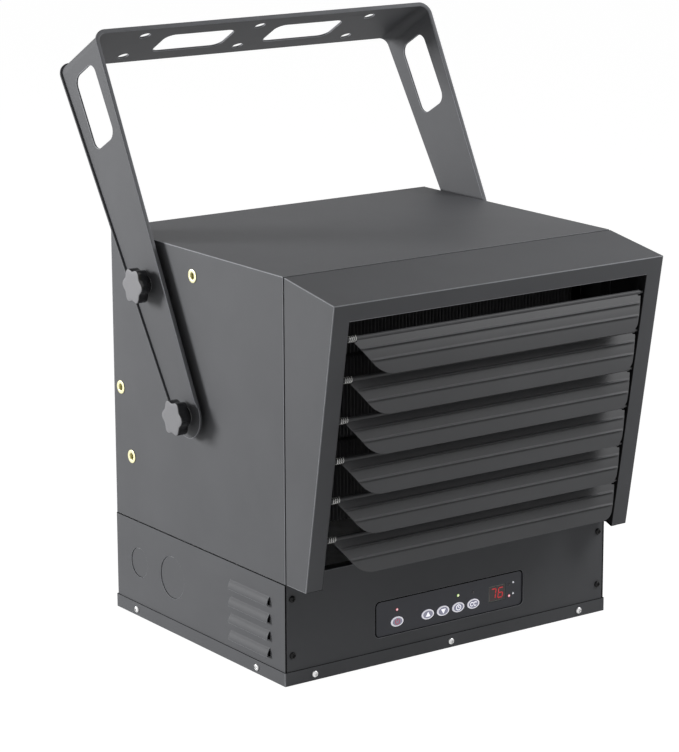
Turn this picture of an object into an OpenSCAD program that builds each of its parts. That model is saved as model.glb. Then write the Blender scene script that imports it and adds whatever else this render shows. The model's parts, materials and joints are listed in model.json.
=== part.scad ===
// Garage heater: sheet steel cabinet with a louvred hood, a lower control box and a
// tilting bracket held by four knobs. X runs right as seen from the front, the front
// faces -Y, and Z = 0 is the underside of the base pan.

/* [Cabinet] */
// Width of the upper cabinet
cabinet_w = 458.4; // [450:0.2:480]
// Depth of the cabinet, from the hood's seam to the rear
cabinet_d = 355; // [350:1:380]
// Height from the floor to the top of the cabinet
heater_h = 463.5; // [460:0.5:480]
// Thickness of the steel sheet
sheet_t = 1.2; // [1:0.1:1.4]
// Width of the folded flanges
flange_w = 14; // [13:0.5:16]

/* [Lower box] */
// Height of the lower box
box_h = 117.5; // [114:0.5:121]
// How far the lower box stands proud of the cabinet
box_proud = 0.6; // [0.3:0.1:0.9]
// Height of the base pan's lip
pan_lip_h = 16; // [14:1:18]
// How far the lower front panel rises above the lower box
panel_rise = 7.5; // [6:0.5:9]
// Gap at each side of the lower front panel
panel_gap = 1.2; // [0.8:0.1:1.6]
// Number of vents on each side of the lower box
vent_count = 4; // [2:1:4]
// Length of a side vent
vent_l = 78; // [60:1:84]
// Height of a side vent
vent_h = 11; // [9:0.5:13]
// Distance from one side vent to the next
vent_pitch = 20; // [18:0.5:21]
// How far a side vent stands out at its foot
vent_proud = 4.5; // [3:0.25:5]
// Diameter of the small knockout
small_knockout_d = 36; // [28:1:40]
// Diameter of the large knockout
large_knockout_d = 50.8; // [44:0.2:56]

/* [Hood] */
// Depth of the hood along its top
hood_top_d = 95; // [90:0.5:100]
// Depth of the hood along its lower edge
hood_low_d = 39.5; // [36:0.5:42]
// How far the hood's top slopes down to its front edge
hood_drop = 16; // [12:0.5:20]
// Seam between the cabinet and the hood
seam_gap = 2.5; // [1.5:0.25:3.5]
// Width of the hood's side strips
strip_w = 22.5; // [20:0.5:25]
// Height of the hood's head strip
head_strip_h = 20.5; // [18:0.5:23]
// Depth of the flanges round the hood's window
return_w = 14; // [12:0.5:16]

/* [Louvers] */
// Distance from the last louver's pivot down to the hood's lower edge
last_louver_rise = 58.1; // [54:0.1:62]
// Distance from a louver's pivot to its free edge
louver_chord = 43.5; // [40:0.5:44]
// Thickness of a louver blade
louver_t = 1.2; // [1:0.1:1.4]
// Angle that the louvers stand open from the hood's face at rest
louver_open = 32; // [26:1:38]
// Diameter of a louver's rolled hem
hem_d = 5.2; // [4.6:0.1:5.6]
// Diameter of a louver's pivot pin
louver_pin_d = 3; // [2.6:0.1:3.2]
// Outer diameter of a louver spring
spring_d = 7.4; // [6.6:0.1:7.8]
// Diameter of the spring wire
spring_wire_d = 1.1; // [0.9:0.05:1.2]
// Number of curls in a louver spring
spring_curls = 4; // [3:1:4]

/* [Bracket] */
// Thickness of the bracket plate
bracket_t = 2.5; // [2:0.1:3]
// Gap between the cabinet's side and the bracket's arm
bracket_gap = 7.5; // [6:0.25:9]
// Distance from the pivot to the outside of the crossbar
bracket_reach = 453; // [440:1:460]
// Width of the crossbar
crossbar_w = 98; // [94:1:102]
// Width of an arm at its pivot
arm_end_w = 53; // [46:1:56]
// Drop from the cabinet's top to its highest rivet nut
lock_drop = 29; // [26:0.5:32]
// Distance from the cabinet's rear to its rearmost rivet nut
nut_inset = 15.5; // [13:0.5:18]
// Height of the lowest rivet nut above the lower box
low_nut_rise = 77; // [70:0.5:84]
// Angle that the bracket leans back at rest
bracket_lean = 30; // [0:1:60]
// Width of the bracket's slots
slot_w = 48; // [40:1:52]
// Length of an arm's slot
arm_slot_l = 92; // [80:1:100]
// Length of a crossbar slot
bar_slot_l = 98; // [90:1:104]
// Diameter of the crossbar's fixing holes
fixing_d = 13; // [9:0.5:14]
// Distance between the two holes of a fixing pair
fixing_pitch = 58; // [50:1:62]

/* [Knobs] */
// Width of a knob over its lobes
knob_d = 42; // [38:1:44]
// Thickness of a knob's head
knob_head_t = 13.2; // [11:0.2:15]
// Length of a knob's neck
knob_neck_l = 6; // [4:0.2:8]
// Diameter of the knob studs
stud_d = 8; // [8:1:8]

/* [Heating] */
// Distance from one fin to the next
fin_pitch = 4.8; // [4.6:0.1:6]
// Thickness of a fin
fin_t = 0.5; // [0.4:0.1:0.7]
// Depth of a fin, front to back
fin_d = 44; // [38:1:48]
// Gap under the lowest row of fins
bank_low_gap = 50.8; // [48:0.2:60]
// Diameter of an element's tube
tube_d = 11; // [9:0.5:12]

/* [Fan] */
// Sheet left above and below the fan's opening
fan_margin = 24; // [20:1:32]
// Number of fan blades
blade_count = 5; // [4:1:6]
// Pitch of the blades
blade_pitch = 22; // [16:1:24]
// Diameter of the motor
motor_d = 92; // [80:1:100]
// Length of the motor
motor_l = 56; // [48:1:58]

/* [Controls] */
// Width of the control panel
fascia_w = 214; // [208:1:220]
// Height of the control panel
fascia_h = 43; // [40:1:46]
// Height of the control panel's middle above the floor
fascia_z = 52.5; // [50:0.5:55]
// Depth of the recess in front of the control panel
fascia_recess = 0.5; // [0.25:0.25:1.5]
// Width of a button
button_w = 17.5; // [15:0.5:19]
// Height of a button
button_h = 11.6; // [10:0.2:13]
// Distance from one button to the next
button_pitch = 22; // [21:0.5:23]
// Travel of a button
button_travel = 0.8; // [0.5:0.1:1]

/* [Hidden] */
$fn = 48;
// As many louvers and elements as NODES names
louver_count = 6;
element_count = 3;
// One overrun serves every cut
over = 4;
// Side clearance of pieces that slot together, and clearance round screws and pins
fit = 0.2;
running = 0.05;

// Faces of the cabinet and the lower box
front_y = -cabinet_d / 2;
rear_y = cabinet_d / 2;
inner_w = cabinet_w - 2 * sheet_t;
box_w = cabinet_w + 2 * box_proud;
box_rear_y = rear_y + box_proud;
panel_top = box_h + panel_rise;

// The hood's sloping face, from its front top edge to its lower edge
hood_lift = 0.5;
face_top_y = front_y - hood_top_d;
face_top_z = heater_h - hood_drop;
face_low_y = front_y - hood_low_d;
face_low_z = box_h + hood_lift;
face_lean = atan((hood_top_d - hood_low_d) / (face_top_z - face_low_z));
face_len = norm([face_top_y - face_low_y, face_top_z - face_low_z]);
spigot_l = 10;
joggle_l = 3;
spigot_clear = 0.1;

// Louvers: the pivots' place down and behind the hood's face, and the blades' outline
first_pivot = 41.5;
louver_pitch = (face_len - first_pivot - last_louver_rise) / (louver_count - 1);
pivot_depth = 3.2;
louver_mid_x = 2;
louver_side_gap = 7;
louver_half_w = cabinet_w / 2 - strip_w - louver_side_gap;
blade_root = 5;
end_taper = 27;
corner_r = 20;
hem_inset = 3.3;
hem_step = 4.3;
blade_bow = 1.6;
ridge_r = 0.85;
ridge_shares = [0.30, 0.62];
arc_steps = 8;
pin_grip = 1;

// Springs: rings on each curl and sides of the wire
curl_rings = 8;
wire_sides = 6;
spring_clear = 0.3;

// Bracket: the rivet nuts stand round its pivot at these angles from upright, and the
// circle through them fills the cabinet's side
lock_angles = [0, 30, 90, 120];
lock_r = (heater_h - box_h - lock_drop - low_nut_rise) / (1 - cos(lock_angles[3]));
pivot_y = rear_y - nut_inset - lock_r;
pivot_z = heater_h - lock_drop - lock_r;
arm_in_x = cabinet_w / 2 + bracket_gap;
arm_out_x = arm_in_x + bracket_t;
bend_r = 13;
slot_r = 12;
arm_slot_mid = 380;
bar_bay = 79;
fixing_bay = 162;

// Knobs, studs, washers, spacers and the threaded rivet nuts that they screw into
lobe_count = 6;
lobe_r = 6.2;
neck_d = 24;
washer_d = 20;
washer_t = 1.6;
washer_clear = 0.1;
stud_grip = 9;
stud_reach = 12;
nut_flange_d = 16;
nut_flange_t = 1;
nut_barrel_d = 11;
nut_l = 14;
nut_clear = 0.3;
spacer_d = 20;
knob_base_x = arm_out_x + 2 * washer_clear + washer_t;

// Heating bank
bank_setback = 50;
bank_top_gap = 12;
element_gap = 3;
bend_tube_r = 14;
rack_inset = 24;
rack_t = 1.2;
rack_d = 60;
cold_end = 10;
insulator_d = 16;
insulator_l = 8;
element_y = front_y + bank_setback;
rack_x = inner_w / 2 - rack_inset;
bank_h = heater_h - box_h - sheet_t - bank_top_gap - bank_low_gap;
fin_h = (bank_h - (element_count - 1) * element_gap) / element_count;
fin_count = floor((2 * rack_x - fin_pitch) / fin_pitch);

// Fan, shroud and motor
fan_z = (box_h + heater_h) / 2;
shroud_inset = 118;
shroud_y = rear_y - shroud_inset;
tip_gap = 4;
shroud_r = (heater_h - box_h) / 2 - fan_margin;
fan_d = 2 * (shroud_r - tip_gap);
shroud_l = 30;
fan_setback = 22;
blade_t = 1.5;
blade_lens_r = 75;
blade_lens_offset = 33;
blade_mid_share = 0.62;
hub_d = 44;
hub_l = 22;
shaft_d = 8;
shaft_in_motor = 30;
mount_standoff = 44;
mount_t = 2.5;
mount_w = 50;
mount_leg_gap = 7;
mount_y = shroud_y + mount_standoff;
bell_l = 12;
bell_step = 5;
guard_lap = 6.5;
guard_r = shroud_r + guard_lap;
guard_wire_d = 3;
guard_clear = 0.1;
guard_weld = 0.3;
guard_ring_pitch = 17;
guard_spokes = 8;

// Control panel: places of buttons, lamps and display from the panel's middle
fascia_r = 6;
fascia_rim = 5;
fascia_t = 2.4;
fascia_face_y = front_y + sheet_t + fascia_recess;
button_row_drop = 7.2;
power_x = -75;
first_button_x = -31.5;
button_proud = 0.7;
button_flange = 1.2;
button_flange_t = 1;
button_clear = 0.25;
stem_d = 3.6;
lamp_d = 3.2;
lamp_proud = 0.4;
lamp_row_rise = 7;
unit_lamp_x = 87.5;
unit_lamp_rise = 5.8;
unit_lamp_drop = 7.6;
display_x = 69.8;
display_w = 24;
display_h = 19;
display_drop = 1.2;
display_set = 0.6;
digit_w = 6.4;
digit_h = 11.5;
digit_gap = 3;
segment_w = 1.3;
segment_t = 0.25;
// Segments lit for a 7 and a 6: top, top left, top right, middle, low left, low right, bottom
segments_7 = [1, 0, 1, 0, 0, 1, 0];
segments_6 = [1, 1, 0, 1, 1, 1, 1];
board_setback = 9;
board_t = 1.6;
board_y = fascia_face_y + board_setback;
board_w = 196;
board_h = 36;
board_post_d = 6;
switch_d = 7;
switch_h = 3;
button_ellipse_steps = 32;

// Screws
screw_d = 4;
screw_head_d = 8;
screw_head_h = 2.4;
screw_l = 8;
recess_w = 1.1;
recess_l = 4.4;
recess_depth = 1.3;
panel_screw_inset = 9;
panel_screw_top = 17.5;
panel_screw_low = 34.5;
pan_screw_z = 7.8;
pan_screw_side_share = [-0.345, 0.375];
pan_screw_front_share = 0.417;
rear_screw_inset = 8;

// Things inside the lower box, measured from its inside walls
block_l = 90;
block_w = 34;
block_h = 28;
block_inset = 26;
block_setback = 118;
block_pole_count = 3;
block_wall = 4;
contactor_w = 46;
contactor_l = 62;
contactor_h = 66;
contactor_step = 14;
contactor_gap = 16;
core_w = 56;
core_l = 24;
core_h = 46;
coil_w = 30;
coil_l = 40;
coil_h = 30;
lug_l = 22;
lug_w = 12;
lug_t = 2;
lug_screw_d = 5;
cutout_d = 22;
cutout_h = 10;
cutout_plate_l = 40;
cutout_plate_t = 1.5;
grommet_d = 30;
grommet_lip = 3;

charcoal = [0.27, 0.27, 0.28];
dark = [0.13, 0.13, 0.14];
steel = [0.72, 0.72, 0.72];
brass = [0.80, 0.72, 0.40];
black = [0.06, 0.06, 0.07];

// Building blocks

// A box from its lowest corner to its highest corner
module slab(lo, hi) {
    translate(lo) cube(hi - lo);
}

// Flat outline with round corners, built only of squares and circles
module round_rect(w, h, r) {
    square([w - 2 * r, h], center = true);
    square([w, h - 2 * r], center = true);
    for (sx = [-1, 1], sy = [-1, 1])
        translate([sx * (w / 2 - r), sy * (h / 2 - r)]) circle(r = r);
}

// Outline drawn in X and Z, made a plate from y to y + t
module facing_plate(y, t) {
    translate([0, y + t, 0]) rotate([90, 0, 0]) linear_extrude(t) children();
}

// Outline drawn in Y and Z, made a plate from x to x + t
module side_plate(x, t) {
    translate([x, 0, 0]) rotate([90, 0, 90]) linear_extrude(t) children();
}

module x_rod(d, x0, x1) {
    translate([x0, 0, 0]) rotate([0, 90, 0]) cylinder(d = d, h = x1 - x0);
}

module y_rod(d, y0, y1) {
    translate([0, y1, 0]) rotate([90, 0, 0]) cylinder(d = d, h = y1 - y0);
}

// Point on the hood's sloping face, measured down it and out of it
module on_face(down, out = 0) {
    translate([0, face_top_y, face_top_z]) rotate([face_lean, 0, 0])
        translate([0, -out, -down]) children();
}

// The bracket's own frame: Z runs up the arm and Y to its rear edge
module in_bracket() {
    translate([0, pivot_y, pivot_z]) rotate([-bracket_lean, 0, 0]) children();
}

// Pan head screw with a cross recess, its head's underside at the origin, head towards -Y
module screw(head_d = screw_head_d, head_h = screw_head_h, d = screw_d, l = screw_l) {
    difference() {
        union() {
            y_rod(head_d, -head_h, 0);
            y_rod(d, -head_h / 2, l);
        }
        for (turn = [0, 90]) rotate([0, turn, 0])
            slab([-recess_l / 2, -head_h - over, -recess_w / 2],
                 [recess_l / 2, -head_h + recess_depth, recess_w / 2]);
    }
}

module screw_hole(depth) {
    y_rod(screw_d + 2 * fit, -over, depth);
}

// Places of the screws

module at_pan_screws() {
    pan_front = front_y - sheet_t;
    for (share = [-pan_screw_front_share, 0, pan_screw_front_share])
        translate([share * cabinet_w, pan_front, pan_screw_z]) children();
    for (side = [-1, 1], share = pan_screw_side_share)
        translate([side * (box_w / 2 + sheet_t), share * cabinet_d, pan_screw_z])
            rotate([0, 0, side * 90]) children();
}

module at_panel_screws() {
    for (side = [-1, 1], z = [panel_screw_low, box_h - panel_screw_top])
        translate([side * (cabinet_w / 2 - panel_screw_inset), front_y, z]) children();
}

module at_rear_screws() {
    for (side = [-1, 1], z = [box_h + rear_screw_inset, fan_z, heater_h - rear_screw_inset])
        translate([side * (cabinet_w / 2 - rear_screw_inset), rear_y, z])
            rotate([0, 0, 180]) children();
}

// Lower box

module base_pan() color(charcoal) difference() {
    slab([-box_w / 2 - sheet_t, front_y - sheet_t, 0],
         [box_w / 2 + sheet_t, box_rear_y + sheet_t, pan_lip_h]);
    slab([-box_w / 2, front_y, sheet_t], [box_w / 2, box_rear_y, pan_lip_h + over]);
    at_pan_screws() screw_hole(screw_l + over);
}

// Lanced vents: each is a curved lip that springs from the wall at its top and stands out
// at its foot, open below and at both ends. X points out of the box.
vent_setback = 69;
vent_top_z = 92;
vent_r = (vent_proud * vent_proud + vent_h * vent_h) / (2 * vent_proud);
module at_vents() {
    for (side = [0, 1], i = [0 : vent_count - 1]) mirror([1 - side, 0, 0])
        translate([box_w / 2, front_y + vent_setback, vent_top_z - i * vent_pitch]) children();
}

module vent_round(r) {
    translate([vent_proud - vent_r, 0, -vent_h / 2]) y_rod(2 * r, -vent_l / 2, vent_l / 2);
}

module vent_lip() {
    intersection() {
        difference() {
            vent_round(vent_r);
            vent_round(vent_r - sheet_t);
        }
        slab([-sheet_t, -vent_l, -vent_h / 2], [vent_proud, vent_l, vent_h]);
    }
}

module vent_slot() {
    intersection() {
        vent_round(vent_r - sheet_t);
        slab([-sheet_t - over, -vent_l, -vent_h / 2], [vent_proud, vent_l, vent_h]);
    }
}

// Knockouts in the left wall: discs pushed inwards that hang by two tabs each
knockout_gap = 0.5;
knockout_depth = 0.8;
knockout_z = 67;
knockout_tab_w = 3;
knockout_tab_angles = [100, -115];
small_knockout_share = 0.36;
large_knockout_share = 0.155;
module at_knockout(share) {
    translate([-box_w / 2, share * cabinet_d, knockout_z]) rotate([90, 0, 90]) children();
}

module knockout_disc(d) {
    translate([0, 0, knockout_depth]) linear_extrude(sheet_t) {
        circle(d = d - 2 * knockout_gap);
        for (a = knockout_tab_angles) rotate(a) translate([0, -knockout_tab_w / 2])
            square([d / 2 + sheet_t, knockout_tab_w]);
    }
}

module lower_box() color(charcoal) {
    difference() {
        union() {
            difference() {
                slab([-box_w / 2, front_y, sheet_t], [box_w / 2, box_rear_y, box_h]);
                slab([-box_w / 2 + sheet_t, front_y - over, 0],
                     [box_w / 2 - sheet_t, box_rear_y - sheet_t, box_h + over]);
            }
            for (z = [sheet_t, box_h - 2 * sheet_t]) difference() {
                slab([-box_w / 2 + sheet_t / 2, front_y + 2 * sheet_t, z],
                     [box_w / 2 - sheet_t / 2, box_rear_y - sheet_t / 2, z + sheet_t]);
                slab([-box_w / 2 + sheet_t + flange_w, front_y - over, z - over],
                     [box_w / 2 - sheet_t - flange_w, box_rear_y - sheet_t - flange_w, z + over]);
            }
            for (side = [0, 1]) mirror([side, 0, 0])
                slab([box_w / 2 - sheet_t - flange_w, front_y + sheet_t, sheet_t],
                     [box_w / 2 - sheet_t / 2, front_y + 2 * sheet_t, box_h - sheet_t]);
            at_vents() vent_lip();
        }
        at_vents() vent_slot();
        at_knockout(small_knockout_share) cylinder(d = small_knockout_d, h = 2 * over, center = true);
        at_knockout(large_knockout_share) cylinder(d = large_knockout_d, h = 2 * over, center = true);
        at_pan_screws() screw_hole(screw_l + over);
        at_panel_screws() screw_hole(screw_l + over);
    }
    at_knockout(small_knockout_share) knockout_disc(small_knockout_d);
    at_knockout(large_knockout_share) knockout_disc(large_knockout_d);
}

module front_panel() color(charcoal) difference() {
    top_half = inner_w / 2 - sheet_t - panel_gap;
    union() {
        slab([-box_w / 2 + sheet_t + panel_gap, front_y, sheet_t],
             [box_w / 2 - sheet_t - panel_gap, front_y + sheet_t, box_h]);
        slab([-top_half, front_y, box_h], [top_half, front_y + sheet_t, panel_top]);
        slab([-top_half, front_y, panel_top - sheet_t], [top_half, front_y + flange_w, panel_top]);
    }
    facing_plate(front_y - over, sheet_t + 2 * over)
        translate([0, fascia_z]) round_rect(fascia_w, fascia_h, fascia_r);
    at_pan_screws() screw_hole(screw_l + over);
    at_panel_screws() screw_hole(screw_l + over);
}

deck_hole_share = [-0.4, -0.02];
module deck() color(steel) difference() {
    slab([-box_w / 2 + sheet_t + fit, front_y + sheet_t + fit, box_h - sheet_t],
         [box_w / 2 - sheet_t - fit, box_rear_y - sheet_t - fit, box_h]);
    translate([deck_hole_share[0] * cabinet_w, deck_hole_share[1] * cabinet_d, box_h - over])
        cylinder(d = grommet_d - 2 * grommet_lip, h = 2 * over);
}

// Rubber grommet that lines the deck's wire hole
module deck_grommet() color(black)
    translate([deck_hole_share[0] * cabinet_w, deck_hole_share[1] * cabinet_d, box_h])
    difference() {
        union() {
            translate([0, 0, -sheet_t - grommet_lip]) cylinder(d = grommet_d, h = grommet_lip);
            cylinder(d = grommet_d, h = grommet_lip);
            translate([0, 0, -sheet_t - grommet_lip / 2])
                cylinder(d = grommet_d - 2 * grommet_lip - 2 * running, h = sheet_t + grommet_lip);
        }
        translate([0, 0, -sheet_t - 2 * grommet_lip])
            cylinder(d = grommet_d - 4 * grommet_lip, h = sheet_t + 4 * grommet_lip);
    }

// Cabinet and hood

// Places of the rivet nuts on the right side, with X pointing out of the cabinet
module at_nuts() {
    for (side = [0, 1]) mirror([side, 0, 0]) translate([cabinet_w / 2, pivot_y, pivot_z]) {
        children();
        for (a = lock_angles) translate([0, lock_r * sin(a), lock_r * cos(a)]) children();
    }
}

module cabinet() color(charcoal) difference() {
    union() {
        difference() {
            slab([-cabinet_w / 2, front_y, box_h], [cabinet_w / 2, rear_y - sheet_t, heater_h]);
            slab([-inner_w / 2, front_y - over, box_h - over],
                 [inner_w / 2, rear_y + over, heater_h - sheet_t]);
        }
        for (side = [0, 1]) mirror([side, 0, 0]) {
            slab([inner_w / 2 - flange_w, front_y + spigot_l + fit, box_h],
                 [inner_w / 2 + sheet_t / 2, rear_y - sheet_t, box_h + sheet_t]);
            slab([inner_w / 2 - flange_w, rear_y - 2 * sheet_t, box_h],
                 [inner_w / 2 + sheet_t / 2, rear_y - sheet_t, heater_h - sheet_t / 2]);
        }
        slab([-inner_w / 2, rear_y - 2 * sheet_t, heater_h - sheet_t - flange_w],
             [inner_w / 2, rear_y - sheet_t, heater_h - sheet_t / 2]);
    }
    at_nuts() x_rod(nut_barrel_d + 2 * running, -over, over);
    at_rear_screws() screw_hole(screw_l + over);
}

module rear_panel() color(charcoal) difference() {
    slab([-cabinet_w / 2, rear_y - sheet_t, box_h], [cabinet_w / 2, rear_y, heater_h]);
    translate([0, 0, fan_z]) y_rod(2 * shroud_r, rear_y - over, rear_y + over);
    at_rear_screws() screw_hole(screw_l + over);
}

// Wire guard: welded rings and spokes behind the rear panel's opening
module fan_guard() color(dark)
    translate([0, rear_y - sheet_t - guard_clear, fan_z]) rotate([90, 0, 0]) {
    spoke_y = 1.5 * guard_wire_d - guard_weld;
    translate([0, 0, guard_wire_d / 2])
        rotate_extrude() translate([guard_r, 0]) circle(d = guard_wire_d);
    for (r = [2 * guard_ring_pitch : guard_ring_pitch : guard_r - guard_ring_pitch / 2])
        translate([0, 0, 2.5 * guard_wire_d - 2 * guard_weld])
            rotate_extrude() translate([r, 0]) circle(d = guard_wire_d);
    for (i = [0 : guard_spokes - 1]) rotate(i * 360 / guard_spokes)
        translate([guard_ring_pitch, 0, spoke_y]) rotate([0, 90, 0])
            cylinder(d = guard_wire_d, h = guard_r - guard_ring_pitch);
    translate([0, 0, spoke_y]) difference() {
        cylinder(d = 3 * guard_ring_pitch, h = sheet_t, center = true);
        cylinder(d = guard_ring_pitch, h = sheet_t + over, center = true);
    }
}

// The hood's side view moved in by w, and run on past its open rear and bottom by past
top_slope = hood_drop / hood_top_d;
face_slope = (hood_top_d - hood_low_d) / (face_top_z - face_low_z);
function hood_top(y, w) = heater_h - w / cos(atan(top_slope)) - top_slope * (front_y - y);
function hood_face(z, w) = face_low_y + w / cos(face_lean) - face_slope * (z - face_low_z);
function hood_corner(w) = let (y = (hood_face(0, w) - face_slope * hood_top(0, w))
                                   / (1 + face_slope * top_slope)) [y, hood_top(y, w)];
function hood_outline(w, past) = let (rear = front_y - seam_gap + past, low = face_low_z - past)
    [[rear, hood_top(rear, w)], hood_corner(w), [hood_face(low, w), low], [rear, low]];

module hood_shell() {
    difference() {
        side_plate(-cabinet_w / 2, cabinet_w) polygon(hood_outline(0, 0));
        side_plate(-inner_w / 2, inner_w) polygon(hood_outline(sheet_t, over));
        on_face(head_strip_h) slab([-cabinet_w / 2 + strip_w, -over, -face_len - over],
                                   [cabinet_w / 2 - strip_w, over, 0]);
    }
}

// Flanges folded back round the hood's window
flange_end = 3;
module window_flanges() {
    out = cabinet_w / 2 - strip_w + sheet_t;
    for (side = [0, 1]) mirror([side, 0, 0]) on_face(0)
        slab([out - sheet_t, sheet_t / 2, -face_len + flange_end],
             [out, return_w, -head_strip_h + sheet_t]);
    on_face(head_strip_h) slab([-out, sheet_t / 2, 0], [out, return_w, sheet_t]);
}

// Stepped tongue that slides into the cabinet
module hood_spigot() {
    out = inner_w / 2 - spigot_clear;
    inset = sheet_t + spigot_clear;
    difference() {
        union() {
            slab([-out, front_y - seam_gap - joggle_l, face_low_z],
                 [out, front_y + spigot_l, heater_h - inset]);
            slab([-inner_w / 2 - sheet_t / 2, front_y - seam_gap - joggle_l, face_low_z],
                 [inner_w / 2 + sheet_t / 2, front_y - seam_gap, heater_h - inset]);
        }
        slab([-out + sheet_t, front_y - seam_gap - joggle_l - over, box_h - over],
             [out - sheet_t, front_y + spigot_l + over, heater_h - inset - sheet_t]);
    }
}

module hood() color(charcoal) difference() {
    union() {
        hood_shell();
        window_flanges();
        hood_spigot();
        for (side = [0, 1]) mirror([side, 0, 0])
            slab([inner_w / 2 - flange_w, face_low_y + sheet_t, face_low_z],
                 [inner_w / 2 + sheet_t / 2, front_y - seam_gap, face_low_z + sheet_t]);
    }
    for (i = [0 : louver_count - 1]) on_face(first_pivot + i * louver_pitch, -pivot_depth)
        x_rod(louver_pin_d + 4 * running, -cabinet_w / 2 + strip_w - over,
              cabinet_w / 2 - strip_w + over);
}

// Louvers

// Blade section from the pivot to the free edge, drawn in Y and Z with the outside at -Y
function bow(share) = blade_bow * sin(180 * share);
module louver_section() {
    steps = 2 * arc_steps;
    outer = [for (i = [0 : steps]) [-bow(i / steps) - louver_t / 2, -louver_chord * i / steps]];
    inner = [for (i = [steps : -1 : 0]) [-bow(i / steps) + louver_t / 2, -louver_chord * i / steps]];
    polygon(concat(outer, inner));
    for (share = ridge_shares)
        translate([-bow(share) - louver_t / 2, -louver_chord * share]) circle(r = ridge_r);
}

// Blade outline seen square on, drawn in X and Z: tapered ends with round front corners
module louver_outline() {
    half = louver_half_w;
    taper = atan(end_taper / (louver_chord - blade_root));
    turn = 90 - taper;
    reach = corner_r * tan(turn / 2);
    low_x = half - end_taper - reach;
    corner = [for (i = [0 : arc_steps]) let (a = -90 + turn * i / arc_steps)
        [low_x + corner_r * cos(a), -louver_chord + corner_r + corner_r * sin(a)]];
    right = concat([[half - hem_inset, over], [half - hem_inset, -hem_step], [half, -blade_root]],
                   [for (i = [arc_steps : -1 : 0]) corner[i]]);
    left = [for (i = [len(right) - 1 : -1 : 0]) [-right[i][0], right[i][1]]];
    polygon(concat(right, left));
}

module louver(i) color(charcoal)
    on_face(first_pivot + i * louver_pitch, -pivot_depth)
    rotate([-louver_open, 0, 0]) translate([louver_mid_x, 0, 0]) {
        hem_half = louver_half_w - hem_inset;
        gap_left = cabinet_w / 2 - strip_w - louver_half_w + hem_inset;
        intersection() {
            side_plate(-louver_half_w, 2 * louver_half_w) louver_section();
            facing_plate(-blade_bow - ridge_r - louver_t - over, 2 * over + 2 * blade_bow)
                louver_outline();
        }
        x_rod(hem_d, -hem_half, hem_half);
        x_rod(louver_pin_d, -hem_half - gap_left - louver_mid_x - sheet_t - pin_grip,
              hem_half + gap_left - louver_mid_x + sheet_t + pin_grip);
    }

// Springs

spring_x0 = -cabinet_w / 2 + strip_w;
spring_x1 = louver_mid_x - louver_half_w + hem_inset - spring_clear;
spring_r = (spring_d - spring_wire_d) / 2;
curl_steps = spring_curls * curl_rings;
curl_l = spring_x1 - spring_x0 - 2 * spring_wire_d;
// Centre line: a straight end, the curls, a straight end
spring_turns = concat([0, 0], [for (i = [1 : curl_steps - 1]) i * 360 / curl_rings], [0, 0]);
spring_xs = concat([0, spring_wire_d],
    [for (i = [1 : curl_steps - 1]) spring_wire_d + curl_l * i / curl_steps],
    [spring_x1 - spring_x0 - spring_wire_d, spring_x1 - spring_x0]);
spring_path = [for (i = [0 : len(spring_xs) - 1])
    [spring_xs[i], spring_r * sin(spring_turns[i]), spring_r * cos(spring_turns[i])]];
spring_last = len(spring_path) - 1;
function unit(v) = v / norm(v);
function spring_heading(i) = i == 0 || i == spring_last ? [1, 0, 0]
    : unit(spring_path[i + 1] - spring_path[i - 1]);
spring_rings = [for (i = [0 : spring_last])
    let (radial = [0, sin(spring_turns[i]), cos(spring_turns[i])],
         across = unit(cross(spring_heading(i), radial)))
    for (k = [0 : wire_sides - 1]) let (a = 360 * k / wire_sides)
        spring_path[i] + spring_wire_d / 2 * (cos(a) * radial + sin(a) * across)];
spring_faces = let (n = wire_sides, last = spring_last * wire_sides) concat(
    [for (i = [0 : spring_last - 1], k = [0 : n - 1]) let (b = i * n, j = (k + 1) % n)
        [b + k, b + j, b + n + k]],
    [for (i = [0 : spring_last - 1], k = [0 : n - 1]) let (b = i * n, j = (k + 1) % n)
        [b + j, b + n + j, b + n + k]],
    [for (k = [1 : n - 2]) [0, k + 1, k]],
    [for (k = [1 : n - 2]) [last, last + k, last + k + 1]]);
spring_gaps = [for (i = [0 : spring_last], j = [i + curl_rings - 1 : spring_last])
    norm(spring_path[i] - spring_path[j]) - spring_wire_d];
echo(spring_least_gap_to_itself = min(spring_gaps));

module louver_springs() color(steel) for (i = [0 : louver_count - 1])
    on_face(first_pivot + i * louver_pitch, -pivot_depth)
        translate([spring_x0, 0, 0]) polyhedron(spring_rings, spring_faces);

// Bracket

module bracket_bend() {
    difference() {
        union() {
            translate([-arm_out_x, -arm_end_w])
                square([2 * arm_out_x, bracket_reach + arm_end_w - bend_r]);
            translate([-arm_out_x + bend_r, 0]) square([2 * (arm_out_x - bend_r), bracket_reach]);
            for (side = [-1, 1])
                translate([side * (arm_out_x - bend_r), bracket_reach - bend_r]) circle(r = bend_r);
        }
        translate([-arm_in_x, -arm_end_w - over])
            square([2 * arm_in_x, bracket_reach + arm_end_w + over - bend_r]);
        translate([-arm_in_x + bend_r - bracket_t, 0])
            square([2 * (arm_in_x - bend_r + bracket_t), bracket_reach - bracket_t]);
        for (side = [-1, 1]) translate([side * (arm_out_x - bend_r), bracket_reach - bend_r])
            circle(r = bend_r - bracket_t);
    }
}

module arm_outline() {
    circle(d = arm_end_w);
    polygon([[-arm_end_w / 2, 0], [arm_end_w / 2, 0],
             [crossbar_w / 2, bracket_reach - bend_r], [crossbar_w / 2, bracket_reach + over],
             [-crossbar_w / 2, bracket_reach + over], [-crossbar_w / 2, bracket_reach - bend_r]]);
}

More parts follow.
